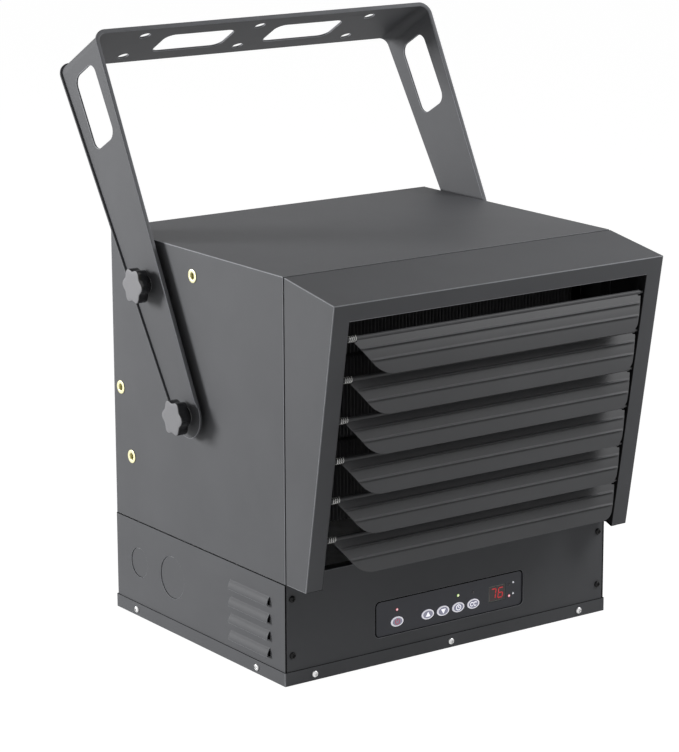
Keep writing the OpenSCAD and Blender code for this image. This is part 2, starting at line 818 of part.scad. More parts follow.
module bracket() color(charcoal) in_bracket() difference() {
    intersection() {
        facing_plate(-crossbar_w / 2, crossbar_w) bracket_bend();
        side_plate(-arm_out_x - over, 2 * arm_out_x + 2 * over) arm_outline();
    }
    side_plate(-arm_out_x - over, 2 * arm_out_x + 2 * over) {
        translate([0, arm_slot_mid]) round_rect(slot_w, arm_slot_l, slot_r);
        for (z = [0, lock_r]) translate([0, z]) circle(d = stud_d + 4 * running);
    }
    translate([0, 0, bracket_reach - bend_r]) linear_extrude(2 * bend_r) {
        for (side = [-1, 1]) translate([side * bar_bay, 0]) round_rect(bar_slot_l, slot_w, slot_r);
        for (bay = [-1, 0, 1], row = [-1, 1])
            translate([bay * fixing_bay, row * fixing_pitch / 2]) circle(d = fixing_d);
    }
}

module pivot_spacers() color(black) for (side = [0, 1]) mirror([side, 0, 0])
    translate([0, pivot_y, pivot_z]) difference() {
        x_rod(spacer_d, cabinet_w / 2 + nut_flange_t, arm_in_x - washer_clear);
        x_rod(stud_d + 4 * running, cabinet_w / 2, arm_in_x + over);
    }

module rivet_nuts() color(brass) at_nuts() difference() {
    union() {
        x_rod(nut_flange_d, 0, nut_flange_t);
        x_rod(nut_barrel_d, nut_flange_t - nut_l, nut_flange_t);
    }
    x_rod(stud_d + 4 * running, -nut_l - over, over);
}

// Knob sets, drawn on the right side with X pointing outwards

module at_pivot(side) {
    mirror([side, 0, 0]) translate([0, pivot_y, pivot_z]) children();
}

module at_lock(side) {
    mirror([side, 0, 0]) in_bracket() translate([0, 0, lock_r]) children();
}

// The lock knobs are clamped with their lobes level, as the pivot knobs are
module level() {
    rotate([bracket_lean, 0, 0]) children();
}

module knob_outline() {
    circle(r = knob_d / 2 - lobe_r / 2);
    for (i = [0 : lobe_count - 1]) rotate(i * 360 / lobe_count)
        translate([0, knob_d / 2 - lobe_r]) circle(r = lobe_r);
}

module knob() color(black) {
    head_x = knob_base_x + knob_neck_l;
    difference() {
        union() {
            x_rod(neck_d, knob_base_x, head_x + knob_head_t / 2);
            side_plate(head_x, knob_head_t) knob_outline();
        }
        x_rod(stud_d + 2 * running, knob_base_x - over, knob_base_x + knob_neck_l + stud_grip);
    }
}

module stud(x0) color(steel) x_rod(stud_d, x0, knob_base_x + knob_neck_l + stud_grip - running);

module washer() color(steel) difference() {
    x_rod(washer_d, arm_out_x + washer_clear, arm_out_x + washer_clear + washer_t);
    x_rod(stud_d + 4 * running, arm_out_x - over, knob_base_x + over);
}

pivot_stud_x = cabinet_w / 2 - stud_reach;
lock_stud_x = cabinet_w / 2 + nut_flange_t + nut_clear;

// Fan and motor

module fan_shroud() color(steel) {
    difference() {
        slab([-inner_w / 2 + fit, shroud_y, box_h + sheet_t + fit],
             [inner_w / 2 - fit, shroud_y + sheet_t, heater_h - sheet_t - fit]);
        translate([0, 0, fan_z]) y_rod(2 * shroud_r, shroud_y - over, shroud_y + over);
    }
    translate([0, 0, fan_z]) difference() {
        y_rod(2 * (shroud_r + sheet_t), shroud_y, shroud_y + shroud_l);
        y_rod(2 * shroud_r, shroud_y - over, shroud_y + shroud_l + over);
    }
}

// Strap that carries the motor across the shroud
module motor_mount() color(steel) translate([0, 0, fan_z]) {
    leg_z = shroud_r + sheet_t + mount_leg_gap;
    foot_z = (heater_h - box_h) / 2 - sheet_t - 2 * fit;
    difference() {
        slab([-mount_w / 2, mount_y, -leg_z], [mount_w / 2, mount_y + mount_t, leg_z]);
        y_rod(shaft_d + over, mount_y - over, mount_y + over);
        at_motor_screws() y_rod(screw_d + 2 * fit, -over, over);
    }
    for (side = [0, 1]) mirror([0, 0, side]) {
        slab([-mount_w / 2, shroud_y + sheet_t, leg_z - mount_t],
             [mount_w / 2, mount_y + mount_t, leg_z]);
        slab([-mount_w / 2, shroud_y + sheet_t, leg_z - mount_t],
             [mount_w / 2, shroud_y + sheet_t + mount_t, foot_z]);
    }
}

motor_screw_pitch = 30;
module at_motor_screws() {
    for (sx = [-1, 1], sz = [-1, 1])
        translate([sx * motor_screw_pitch / 2, mount_y, sz * motor_screw_pitch / 2]) children();
}

module motor_screws() color(steel) translate([0, 0, fan_z]) at_motor_screws() screw(l = screw_l);

motor_y = mount_y + mount_t;
module fan_motor() color(dark) translate([0, 0, fan_z]) difference() {
    union() {
        y_rod(motor_d - 2 * bell_step, motor_y, motor_y + motor_l);
        y_rod(motor_d, motor_y + bell_l, motor_y + motor_l - bell_l);
    }
    y_rod(shaft_d + 2 * running, motor_y - over, motor_y + shaft_in_motor);
    at_motor_screws() y_rod(screw_d + 2 * fit, -over, screw_l + over);
}

fan_mid_y = shroud_y + fan_setback;
module fan_shaft() color(steel) translate([0, 0, fan_z])
    y_rod(shaft_d, fan_mid_y - hub_l / 2 - mount_t, motor_y + shaft_in_motor - over);

module fan() color(dark) translate([0, fan_mid_y, fan_z]) difference() {
    union() {
        y_rod(hub_d, -hub_l / 2, hub_l / 2);
        rotate([90, 0, 0]) for (i = [0 : blade_count - 1]) rotate(i * 360 / blade_count)
            fan_blade();
    }
    y_rod(shaft_d + 2 * running, -hub_l, hub_l);
}

// One pitched blade: a tilted plate cut to a lens outline and to the fan's rim
module fan_blade() {
    intersection() {
        rotate([blade_pitch, 0, 0]) translate([0, -blade_lens_r, -blade_t / 2])
            cube([fan_d / 2, 2 * blade_lens_r, blade_t]);
        linear_extrude(2 * hub_l, center = true) intersection() {
            circle(d = fan_d);
            union() {
                intersection_for (s = [-1, 1])
                    translate([blade_mid_share * fan_d / 2, s * blade_lens_offset])
                        circle(r = blade_lens_r);
                translate([0, -hub_d / 4]) square([fan_d / 3, hub_d / 2]);
            }
        }
    }
}

// Heating bank

function element_mid_z(i) = heater_h - sheet_t - bank_top_gap - fin_h / 2 - i * (fin_h + element_gap);

module heating_element(i) color(dark) if (i < element_count)
    translate([0, element_y, element_mid_z(i)]) {
        for (side = [-1, 1]) translate([0, 0, side * bend_tube_r])
            x_rod(tube_d, -rack_x - rack_t - cold_end, rack_x + rack_t);
        translate([rack_x + rack_t, 0, 0]) rotate([90, 0, 0]) rotate([0, 0, -90])
            rotate_extrude(angle = 180) translate([bend_tube_r, 0]) circle(d = tube_d);
        for (k = [0 : fin_count - 1])
            translate([(k - (fin_count - 1) / 2) * fin_pitch, 0, 0])
                cube([fin_t, fin_d, fin_h], center = true);
    }

module element_rack(side) color(steel) mirror([side, 0, 0]) difference() {
    union() {
        slab([rack_x, element_y - rack_d / 2, box_h],
             [rack_x + rack_t, element_y + rack_d / 2, heater_h - sheet_t - fit]);
        for (z = [box_h, heater_h - sheet_t - fit - rack_t])
            slab([rack_x - flange_w, element_y - rack_d / 2, z],
                 [rack_x + rack_t / 2, element_y + rack_d / 2, z + rack_t]);
    }
    for (i = [0 : element_count - 1], s = [-1, 1])
        translate([0, element_y, element_mid_z(i) + s * bend_tube_r])
            x_rod(tube_d + 2 * fit, rack_x - over, rack_x + over);
}

// Ceramic collars where the element tubes leave the left rack
module element_insulators() color("ivory") for (i = [0 : element_count - 1], s = [-1, 1])
    translate([0, element_y, element_mid_z(i) + s * bend_tube_r]) difference() {
        x_rod(insulator_d, -rack_x - rack_t - insulator_l, -rack_x - rack_t);
        x_rod(tube_d + 2 * running, -rack_x - rack_t - insulator_l - over, -rack_x);
    }

cutout_share = 0.33;
module overheat_cutout() color(steel) translate([cutout_share * cabinet_w, element_y, box_h]) {
    slab([-cutout_plate_l / 2, -cutout_d / 2, 0], [cutout_plate_l / 2, cutout_d / 2, cutout_plate_t]);
    cylinder(d = cutout_d, h = cutout_plate_t + cutout_h);
    for (s = [-1, 1]) translate([s * cutout_d / 4, 0, cutout_h])
        slab([-sheet_t / 2, -cutout_d / 8, 0], [sheet_t / 2, cutout_d / 8, cutout_h]);
}

// Controls

function ellipse(w, h) = [for (i = [0 : button_ellipse_steps - 1])
    let (a = 360 * i / button_ellipse_steps) [w / 2 * cos(a), h / 2 * sin(a)]];
button_xs = concat([power_x], [for (i = [0 : 3]) first_button_x + i * button_pitch]);
button_z = fascia_z - button_row_drop;
lamp_places = [[power_x, fascia_z + lamp_row_rise], [button_xs[3], fascia_z + lamp_row_rise],
               [button_xs[4], fascia_z + lamp_row_rise],
               [unit_lamp_x, fascia_z + unit_lamp_rise], [unit_lamp_x, fascia_z - unit_lamp_drop]];
display_z = fascia_z - display_drop;

module control_fascia() color(black) difference() {
    union() {
        facing_plate(front_y + sheet_t, fascia_recess + fascia_t) translate([0, fascia_z])
            round_rect(fascia_w + 2 * fascia_rim, fascia_h + 2 * fascia_rim, fascia_r + fascia_rim);
        for (sx = [-1, 1], sz = [-1, 1])
            translate([sx * (board_w / 2 - board_post_d), 0, fascia_z + sz * (board_h / 2 - board_post_d)])
                y_rod(board_post_d, fascia_face_y + fascia_t / 2, board_y);
    }
    facing_plate(front_y - over, sheet_t + over + fascia_recess)
        translate([0, fascia_z]) round_rect(fascia_w, fascia_h, fascia_r);
    facing_plate(fascia_face_y - over, fascia_t + 2 * over) {
        for (x = button_xs) translate([x, button_z])
            polygon(ellipse(button_w + 2 * button_clear, button_h + 2 * button_clear));
        for (p = lamp_places) translate(p) circle(d = lamp_d + 2 * running);
        translate([display_x, display_z])
            square([display_w + 2 * running, display_h + 2 * running], center = true);
    }
}

module button(n) color([0.75, 0.74, 0.82]) {
    x = button_xs[n];
    seat_y = fascia_face_y + fascia_t + running;
    facing_plate(fascia_face_y - button_proud, button_proud + fascia_t + running + button_flange_t)
        translate([x, button_z]) polygon(ellipse(button_w, button_h));
    facing_plate(seat_y, button_flange_t) translate([x, button_z])
        polygon(ellipse(button_w + 2 * button_flange, button_h + 2 * button_flange));
    translate([x, 0, button_z])
        y_rod(stem_d, seat_y, board_y - switch_h - button_travel - fit);
}

module control_board() color("darkgreen") {
    facing_plate(board_y, board_t) translate([0, fascia_z])
        square([board_w, board_h], center = true);
    for (x = button_xs) translate([x, 0, button_z])
        y_rod(switch_d, board_y - switch_h, board_y + board_t / 2);
}

module display_window() color([0.12, 0.03, 0.03])
    facing_plate(fascia_face_y + display_set, board_setback - display_set)
        translate([display_x, display_z]) square([display_w, display_h], center = true);

function segment_place(k) = let (w = digit_w - segment_w, h = digit_h - segment_w)
    [[0, h / 2], [-w / 2, h / 4], [w / 2, h / 4], [0, 0], [-w / 2, -h / 4], [w / 2, -h / 4],
     [0, -h / 2]][k];

module display_digits() color("red") for (d = [0, 1])
    for (k = [0 : 6]) if ((d == 0 ? segments_7 : segments_6)[k] == 1)
        facing_plate(fascia_face_y + display_set - segment_t, segment_t)
            translate([display_x + (d - 0.5) * (digit_w + digit_gap), display_z])
                translate(segment_place(k)) {
                    across = k == 0 || k == 3 || k == 6;
                    long = across ? digit_w - 2 * segment_w : digit_h / 2 - segment_w;
                    square(across ? [long, segment_w] : [segment_w, long], center = true);
                }

module indicator_lamps() color("red") for (p = lamp_places) translate([p[0], 0, p[1]])
    y_rod(lamp_d, fascia_face_y - lamp_proud, board_y);

// Supply side

block_x = -box_w / 2 + sheet_t + block_inset;
block_y = rear_y - block_setback;
block_pole_w = (block_l - (block_pole_count + 1) * block_wall) / block_pole_count;
module terminal_block() color("ivory") translate([block_x, block_y, sheet_t]) difference() {
    cube([block_w, block_l, block_h]);
    for (i = [0 : block_pole_count - 1])
        translate([block_wall, block_wall + i * (block_pole_w + block_wall), block_h / 2])
            cube([block_w - 2 * block_wall, block_pole_w, block_h]);
}

module contactors() color(dark) for (i = [0, 1])
    translate([-contactor_w / 2 - i * (contactor_w + contactor_gap), -contactor_l / 2, sheet_t]) {
        cube([contactor_w, contactor_l, contactor_h - contactor_step]);
        translate([0, contactor_step, 0])
            cube([contactor_w, contactor_l - 2 * contactor_step, contactor_h]);
    }

transformer_share = [0.3, 0.1];
module transformer() color("saddlebrown")
    translate([transformer_share[0] * cabinet_w, transformer_share[1] * cabinet_d, sheet_t + core_h / 2]) {
        difference() {
            cube([core_w, core_l, core_h], center = true);
            cube([coil_w, 2 * core_l, coil_h], center = true);
        }
        cube([coil_w, coil_l, coil_h], center = true);
    }

module ground_lug() color(brass)
    translate([block_x + block_w / 2, block_y - 2 * lug_l, sheet_t]) {
        slab([-lug_w / 2, -lug_l / 2, 0], [lug_w / 2, lug_l / 2, lug_t]);
        cylinder(d = lug_screw_d + 2 * lug_t, h = 2 * lug_t + lug_screw_d / 2);
    }

// Fasteners

module pan_screws() color(steel) at_pan_screws() screw();

module panel_screws() color(black) {
    at_panel_screws() screw();
    at_rear_screws() screw();
}

base_pan();
lower_box();
front_panel();
deck();
cabinet();
rear_panel();
fan_guard();
hood();
fan_shroud();
motor_mount();
fan_motor();
fan_shaft();
fan();
heating_element(0);  // heating_element_1
heating_element(1);  // heating_element_2
heating_element(2);  // heating_element_3
element_insulators();
element_rack(1);  // element_rack_left
element_rack(0);  // element_rack_right
overheat_cutout();
louver(0);  // louver_1
louver(1);  // louver_2
louver(2);  // louver_3
louver(3);  // louver_4
louver(4);  // louver_5
louver(5);  // louver_6
louver_springs();
bracket();
pivot_spacers();
rivet_nuts();
at_pivot(1) knob();  // pivot_knob_left
at_pivot(0) knob();  // pivot_knob_right
at_lock(1) level() knob();  // lock_knob_left
at_lock(0) level() knob();  // lock_knob_right
at_pivot(1) stud(pivot_stud_x);  // pivot_stud_left
at_pivot(0) stud(pivot_stud_x);  // pivot_stud_right
at_lock(1) stud(lock_stud_x);  // lock_stud_left
at_lock(0) stud(lock_stud_x);  // lock_stud_right
at_pivot(1) washer();  // pivot_washer_left
at_pivot(0) washer();  // pivot_washer_right
at_lock(1) washer();  // lock_washer_left
at_lock(0) washer();  // lock_washer_right
control_fascia();
control_board();
display_window();
display_digits();
indicator_lamps();
button(0);  // power_button
button(1);  // up_button
button(2);  // down_button
button(3);  // timer_button
button(4);  // mode_button
terminal_block();
contactors();
transformer();
ground_lug();
deck_grommet();
pan_screws();
panel_screws();
motor_screws();
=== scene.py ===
"""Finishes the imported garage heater: folded sheet steel, louvers, knobs, controls, fan and
heating bank, with a plain studio round it. All lengths in the code are metres."""

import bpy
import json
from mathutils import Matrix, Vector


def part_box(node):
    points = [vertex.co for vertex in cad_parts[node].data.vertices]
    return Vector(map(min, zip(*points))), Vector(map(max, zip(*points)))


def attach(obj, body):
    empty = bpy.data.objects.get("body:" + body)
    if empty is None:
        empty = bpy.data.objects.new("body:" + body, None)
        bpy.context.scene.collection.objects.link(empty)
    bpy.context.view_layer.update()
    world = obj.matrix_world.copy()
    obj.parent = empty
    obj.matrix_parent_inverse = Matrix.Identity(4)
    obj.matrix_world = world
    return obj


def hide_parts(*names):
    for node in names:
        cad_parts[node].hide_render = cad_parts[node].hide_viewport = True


bl_info = {
    "name": "Garage Heater",
    "version": (1, 0, 0),
    "blender": (4, 5, 0),
    "location": "3D View > Sidebar > Heater",
    "description": "Finishes the sheet steel, louvers, knobs and controls of a garage heater",
    "category": "Object",
}

import json
import math

import bmesh
import bpy
from mathutils import Vector

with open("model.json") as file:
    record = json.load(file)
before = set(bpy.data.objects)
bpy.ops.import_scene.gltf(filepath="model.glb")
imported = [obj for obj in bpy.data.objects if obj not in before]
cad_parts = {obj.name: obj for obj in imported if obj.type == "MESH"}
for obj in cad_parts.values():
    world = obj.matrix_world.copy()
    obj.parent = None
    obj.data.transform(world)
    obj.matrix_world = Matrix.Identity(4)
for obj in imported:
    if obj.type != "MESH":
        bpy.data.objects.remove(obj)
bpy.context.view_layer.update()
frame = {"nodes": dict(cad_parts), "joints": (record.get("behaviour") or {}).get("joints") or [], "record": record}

MM = 0.001
NODES = frame["nodes"]
BODY_OF = {node: body for body, nodes in frame["record"]["behaviour"]["bodies"].items()
           for node in nodes}
SLOT_OF = {part["node"]: part["material_slot"] for part in frame["record"]["subparts"]}
PIVOT_OF = {joint["name"]: Vector(joint["pos_m"]) for joint in frame["joints"]
            if "pos_m" in joint}

# The hood's sloping face leans by this angle, and the louvers stand open from it by the other
FACE_LEAN = math.atan2(55.5, 329.5)
LOUVER_OPEN = math.radians(32)
WHITE = (1, 1, 1, 1)


# Sizes and colours that a user would change

def length(name, description, default_mm, low_mm=0.0, high_mm=500.0):
    return bpy.props.FloatProperty(name=name, description=description, default=default_mm * MM,
                                   min=low_mm * MM, max=high_mm * MM, subtype="DISTANCE",
                                   unit="LENGTH", precision=5)


def colour(name, description, red, green, blue):
    return bpy.props.FloatVectorProperty(name=name, description=description, subtype="COLOR",
                                         size=3, min=0, max=1, default=(red, green, blue))


class HeaterSheet(bpy.types.PropertyGroup):
    fold_radius: length("Fold radius", "Radius of the sheet's folded edges", 0.9, 0.2, 3)
    cut_radius: length("Cut radius", "Rounding of the sheet's cut edges", 0.28, 0.05, 0.5)
    lip: length("Bracket lip", "Height of the lips turned out along the bracket's edges", 2.5)
    paint: colour("Powder coat", "Colour of the cabinet's powder coat", 0.094, 0.096, 0.102)
    bare: colour("Galvanised sheet", "Colour of the bare inner sheet", 0.6, 0.61, 0.62)


class HeaterLouvers(bpy.types.PropertyGroup):
    half_width: length("Half width", "Half the length of a louver blade", 199.7)
    chord: length("Chord", "Distance from the hem to the free edge", 43.5)
    thickness: length("Thickness", "Thickness of the blade", 1.2)
    bow: length("Bow", "How far the blade arches outwards", 1.6)
    rib_height: length("Rib height", "Height of the two pressed ribs", 1.9)
    rib_width: length("Rib width", "Half width of a pressed rib", 1.15)
    hem: length("Hem", "Diameter of the rolled hem", 5.2)
    pin: length("Pin", "Diameter of the pivot pins", 3)
    paint: colour("Louver coat", "Colour of the louvers' coat", 0.09, 0.091, 0.095)
    spring_wire: length("Spring wire", "Diameter of the spring wire", 0.75)
    spring_radius: length("Spring radius", "Radius to the middle of the spring wire", 3.3)
    spring_curls: bpy.props.IntProperty(name="Spring curls", default=4, min=2, max=8,
                                        description="Number of curls in a louver spring")


class HeaterKnobs(bpy.types.PropertyGroup):
    width: length("Width", "Width over the lobes", 42)
    lobe_depth: length("Lobe depth", "Depth of the hollows between the lobes", 3.8)
    neck: length("Neck", "Diameter of the neck behind the head", 24)
    lobes: bpy.props.IntProperty(name="Lobes", default=6, min=3, max=9,
                                 description="Number of lobes round a knob")
    plastic: colour("Plastic", "Colour of the moulded knobs", 0.006, 0.006, 0.007)
    worn: colour("Face", "Colour of the knobs' matt faces", 0.17, 0.17, 0.18)


class HeaterControls(bpy.types.PropertyGroup):
    panel: colour("Panel", "Colour of the control panel", 0.026, 0.028, 0.038)
    button: colour("Button", "Colour of the buttons' middles", 0.17, 0.17, 0.26)
    rim: colour("Rim", "Colour of the buttons' rims", 0.92, 0.91, 0.98)
    red: colour("Red light", "Colour of the red lamps and digits", 0.95, 0.03, 0.04)
    green: colour("Green light", "Colour of the green lamp", 0.35, 0.85, 0.12)
    digit_slant: bpy.props.FloatProperty(name="Digit slant", default=math.radians(7), min=0,
                                         max=0.4, subtype="ANGLE",
                                         description="Slant of the display's digits")


class HeaterInside(bpy.types.PropertyGroup):
    fin_pitch: length("Fin pitch", "Distance from one fin to the next", 4.8)
    fin_thickness: length("Fin thickness", "Thickness of a fin", 0.5)
    tube: length("Tube", "Diameter of the element's tube", 11)
    guard_wire: length("Guard wire", "Diameter of the fan guard's wire", 3)
    blades: bpy.props.IntProperty(name="Blades", default=5, min=3, max=9,
                                  description="Number of fan blades")
    plating: colour("Yellow plating", "Colour of the rivet nuts", 0.84, 0.8, 0.5)
    steel: colour("Bright steel", "Colour of zinc plated screws", 0.72, 0.72, 0.72)


class HeaterStage(bpy.types.PropertyGroup):
    key_power: bpy.props.FloatProperty(name="Key light", default=146, min=0, unit="POWER",
                                       description="Light from the rear left and above")
    front_power: bpy.props.FloatProperty(name="Front light", default=8, min=0, unit="POWER",
                                         description="Soft light from the front right and above")
    fill: bpy.props.FloatProperty(name="Fill", default=0.16, min=0, max=1, subtype="FACTOR",
                                  description="Level of the even light from all sides")


# Node trees

class Wire:
    """An output in a node tree. Sums, products and powers of wires add their maths nodes."""

    def __init__(self, tree, socket):
        self.tree, self.socket = tree, socket

    def then(self, operation, *values):
        return maths(self.tree, operation, self, *values)

    def __add__(self, other):
        return self.then("ADD", other)

    def __radd__(self, other):
        return maths(self.tree, "ADD", other, self)

    def __sub__(self, other):
        return self.then("SUBTRACT", other)

    def __rsub__(self, other):
        return maths(self.tree, "SUBTRACT", other, self)

    def __mul__(self, other):
        return self.then("MULTIPLY", other)

    def __rmul__(self, other):
        return maths(self.tree, "MULTIPLY", other, self)

    def __truediv__(self, other):
        return self.then("DIVIDE", other)

    def __rtruediv__(self, other):
        return maths(self.tree, "DIVIDE", other, self)

    def __pow__(self, power):
        return self.then("POWER", power)


def plug(tree, inlet, value):
    """Links a wire or a socket to an inlet, or else sets the inlet's value."""
    value = value.socket if isinstance(value, Wire) else value
    if isinstance(value, bpy.types.NodeSocket):
        tree.links.new(value, inlet)
    else:
        inlet.default_value = value


def put(tree, kind, values=None, **settings):
    """Adds a node. Values go to its inputs by name or number, and a list of wires goes to an
    input that takes several."""
    node = tree.nodes.new(kind)
    for key, value in settings.items():
        setattr(node, key, value)
    for key, value in (values or {}).items():
        for one in value if isinstance(value, list) else [value]:
            plug(tree, node.inputs[key], one)
    return node


def got(tree, kind, values=None, outlet=None, **settings):
    """Adds a node and gives one of its outputs: the named one, or else the first in use."""
    node = put(tree, kind, values, **settings)
    if outlet is not None:
        return Wire(tree, node.outputs[outlet])
    return Wire(tree, next(socket for socket in node.outputs if socket.enabled))


def wires(node):
    """A node's outputs by name."""
    return {socket.name: Wire(node.id_data, socket) for socket in node.outputs}


def maths(tree, operation, *values):
    return got(tree, "ShaderNodeMath", dict(enumerate(values)), operation=operation)


def vector(tree, x=0.0, y=0.0, z=0.0):
    return got(tree, "ShaderNodeCombineXYZ", {0: x, 1: y, 2: z})


SOCKETS = {bool: "NodeSocketBool", int: "NodeSocketInt", float: "NodeSocketFloat",
           tuple: "NodeSocketVector"}


def shape_tree(name, sizes):
    """A Geometry Nodes tree with a material and the named sizes as inputs."""
    tree = bpy.data.node_groups.new(name, "GeometryNodeTree")
    tree.is_modifier = True
    tree.interface.new_socket("Places", in_out="INPUT", socket_type="NodeSocketGeometry")
    for label, value in sizes.items():
        socket = tree.interface.new_socket(label, in_out="INPUT", socket_type=SOCKETS[type(value)])
        socket.default_value = value
        if isinstance(value, float):
            socket.subtype = "ANGLE" if label.endswith("angle") else "DISTANCE"
    tree.interface.new_socket("Finish", in_out="INPUT", socket_type="NodeSocketMaterial")
    tree.interface.new_socket("Result", in_out="OUTPUT", socket_type="NodeSocketGeometry")
    return tree, wires(put(tree, "NodeGroupInput"))


def placed(tree, ask, shape):
    """Ends a tree: the shape stands at every place, turned by the place's own turn."""
    turn = got(tree, "GeometryNodeInputNamedAttribute", {"Name": "turn"}, data_type="FLOAT_VECTOR")
    turn = got(tree, "FunctionNodeEulerToRotation", {0: turn})
    whole = got(tree, "GeometryNodeRealizeInstances",
                {"Geometry": copied(tree, ask["Places"], shape, Rotation=turn)})
    whole = got(tree, "GeometryNodeSetMaterial", {"Geometry": whole, "Material": ask["Finish"]})
    put(tree, "NodeGroupOutput", {0: whole})
    return tree


def joined(tree, *shapes):
    return got(tree, "GeometryNodeJoinGeometry", {0: list(reversed(shapes))})


def moved(tree, shape, shift=(0, 0, 0), turn=(0, 0, 0)):
    return got(tree, "GeometryNodeTransform",
               {"Geometry": shape, "Translation": shift, "Rotation": turn})


def lifted(tree, shape, rise):
    return moved(tree, shape, vector(tree, 0.0, 0.0, rise))


def copied(tree, points, shape, **ways):
    return got(tree, "GeometryNodeInstanceOnPoints", {"Points": points, "Instance": shape, **ways})


def points_in_row(tree, count, start=(0.0, 0.0, 0.0), offset=(0.0, 0.0, 0.0)):
    return got(tree, "GeometryNodeMeshLine",
               {"Count": count, "Start Location": start, "Offset": offset},
               mode="OFFSET", count_mode="TOTAL")


def point_parts(tree):
    """X, Y and Z of each point's place."""
    place = got(tree, "GeometryNodeInputPosition")
    return wires(put(tree, "ShaderNodeSeparateXYZ", {0: place})).values()


def grid(tree, columns, rows):
    return got(tree, "GeometryNodeMeshGrid",
               {"Size X": 1.0, "Size Y": 1.0, "Vertices X": columns, "Vertices Y": rows})


def shaped(tree, shape, x, y, z):
    return got(tree, "GeometryNodeSetPosition",
               {"Geometry": shape, "Position": vector(tree, x, y, z)})


def circle(tree, sides, radius):
    return got(tree, "GeometryNodeCurvePrimitiveCircle", {"Resolution": sides, "Radius": radius})


def rectangle(tree, width, height):
    return got(tree, "GeometryNodeCurvePrimitiveQuadrilateral", {"Width": width, "Height": height})


def filleted(tree, curve, radius, count):
    return got(tree, "GeometryNodeFilletCurve",
               {"Curve": curve, "Count": count, "Radius": radius, "Limit Radius": True},
               mode="POLY")


def swept(tree, path, profile, caps=False):
    return got(tree, "GeometryNodeCurveToMesh",
               {"Curve": path, "Profile Curve": profile, "Fill Caps": caps})


def post(tree, diameter, long, sides, **more):
    """A round bar along Z, centred."""
    return got(tree, "GeometryNodeMeshCylinder",
               {"Vertices": sides, "Radius": diameter * 0.5, "Depth": long, **more},
               fill_type="NGON")


def rod(tree, diameter, long, sides=24):
    """A round bar along X, centred."""
    return moved(tree, post(tree, diameter, long, sides), turn=(0, math.pi / 2, 0))


def thickened(tree, surface, offset):
    """Closes an open surface into a sheet that runs from it by the offset."""
    raised = got(tree, "GeometryNodeExtrudeMesh",
                 {"Mesh": surface, "Offset": offset, "Offset Scale": 1.0, "Individual": False},
                 mode="FACES")
    back = got(tree, "GeometryNodeFlipFaces", {"Mesh": surface})
    return got(tree, "GeometryNodeMergeByDistance",
               {"Geometry": joined(tree, raised, back), "Distance": 1e-7})


def ring_shape(tree, bore, outer, long, fillet, start):
    """A ring round Z with filleted edges, from start upwards."""
    profile = filleted(tree, rectangle(tree, (outer - bore) * 0.5, long), fillet, 3)
    ring = swept(tree, circle(tree, 40, (outer + bore) * 0.25), profile)
    return lifted(tree, ring, long * 0.5 + start)


def ring_tree():
    tree, ask = shape_tree("Turned ring", {"Bore": 0.008, "Outer": 0.02, "Length": 0.0016,
                                           "Fillet": 0.0003})
    return placed(tree, ask, ring_shape(tree, ask["Bore"], ask["Outer"], ask["Length"],
                                        ask["Fillet"], 0.0))


def rivet_nut_tree():
    tree, ask = shape_tree("Rivet nut", {"Bore": 0.0082, "Barrel": 0.011, "Barrel length": 0.013,
                                         "Flange": 0.016, "Flange height": 0.001, "Fillet": 0.0004})
    flange = ring_shape(tree, ask["Bore"], ask["Flange"], ask["Flange height"], ask["Fillet"], 0.0)
    barrel = ring_shape(tree, ask["Bore"], ask["Barrel"], ask["Barrel length"], ask["Fillet"],
                        ask["Barrel length"] * -1.0)
    return placed(tree, ask, joined(tree, flange, barrel))


def screw_tree():
    """Pan head screw on +Z, with a cross recess: its head stands on the origin."""
    tree, ask = shape_tree("Pan head screw", {"Head": 0.008, "Height": 0.0024, "Shank": 0.004,
                                              "Length": 0.008, "Recess": 0.005, "Blade": 0.0015,
                                              "Recess depth": 0.0013})
    tall, long = ask["Height"], ask["Length"]
    head = post(tree, ask["Head"], tall, 28, **{"Side Segments": 7})
    x, y, z = point_parts(tree)
    share, narrowed = z / tall + 0.5, 0.36
    squeeze = 1.0 - share ** 3.0 * narrowed
    head = shaped(tree, head, x * squeeze, y * squeeze, share * tall)
    rise = tall - ask["Recess depth"] + tall * 0.5
    cutters = [lifted(tree, got(tree, "GeometryNodeMeshCube", {"Size": vector(tree, *sides, tall)}),
                      rise)
               for sides in ((ask["Recess"], ask["Blade"]), (ask["Blade"], ask["Recess"]))]
    head = got(tree, "GeometryNodeMeshBoolean", {"Mesh 1": head, "Mesh 2": cutters},
               operation="DIFFERENCE", solver="EXACT")
    shank = lifted(tree, post(tree, ask["Shank"], long, 16), long * -0.5)
    return placed(tree, ask, joined(tree, head, shank))


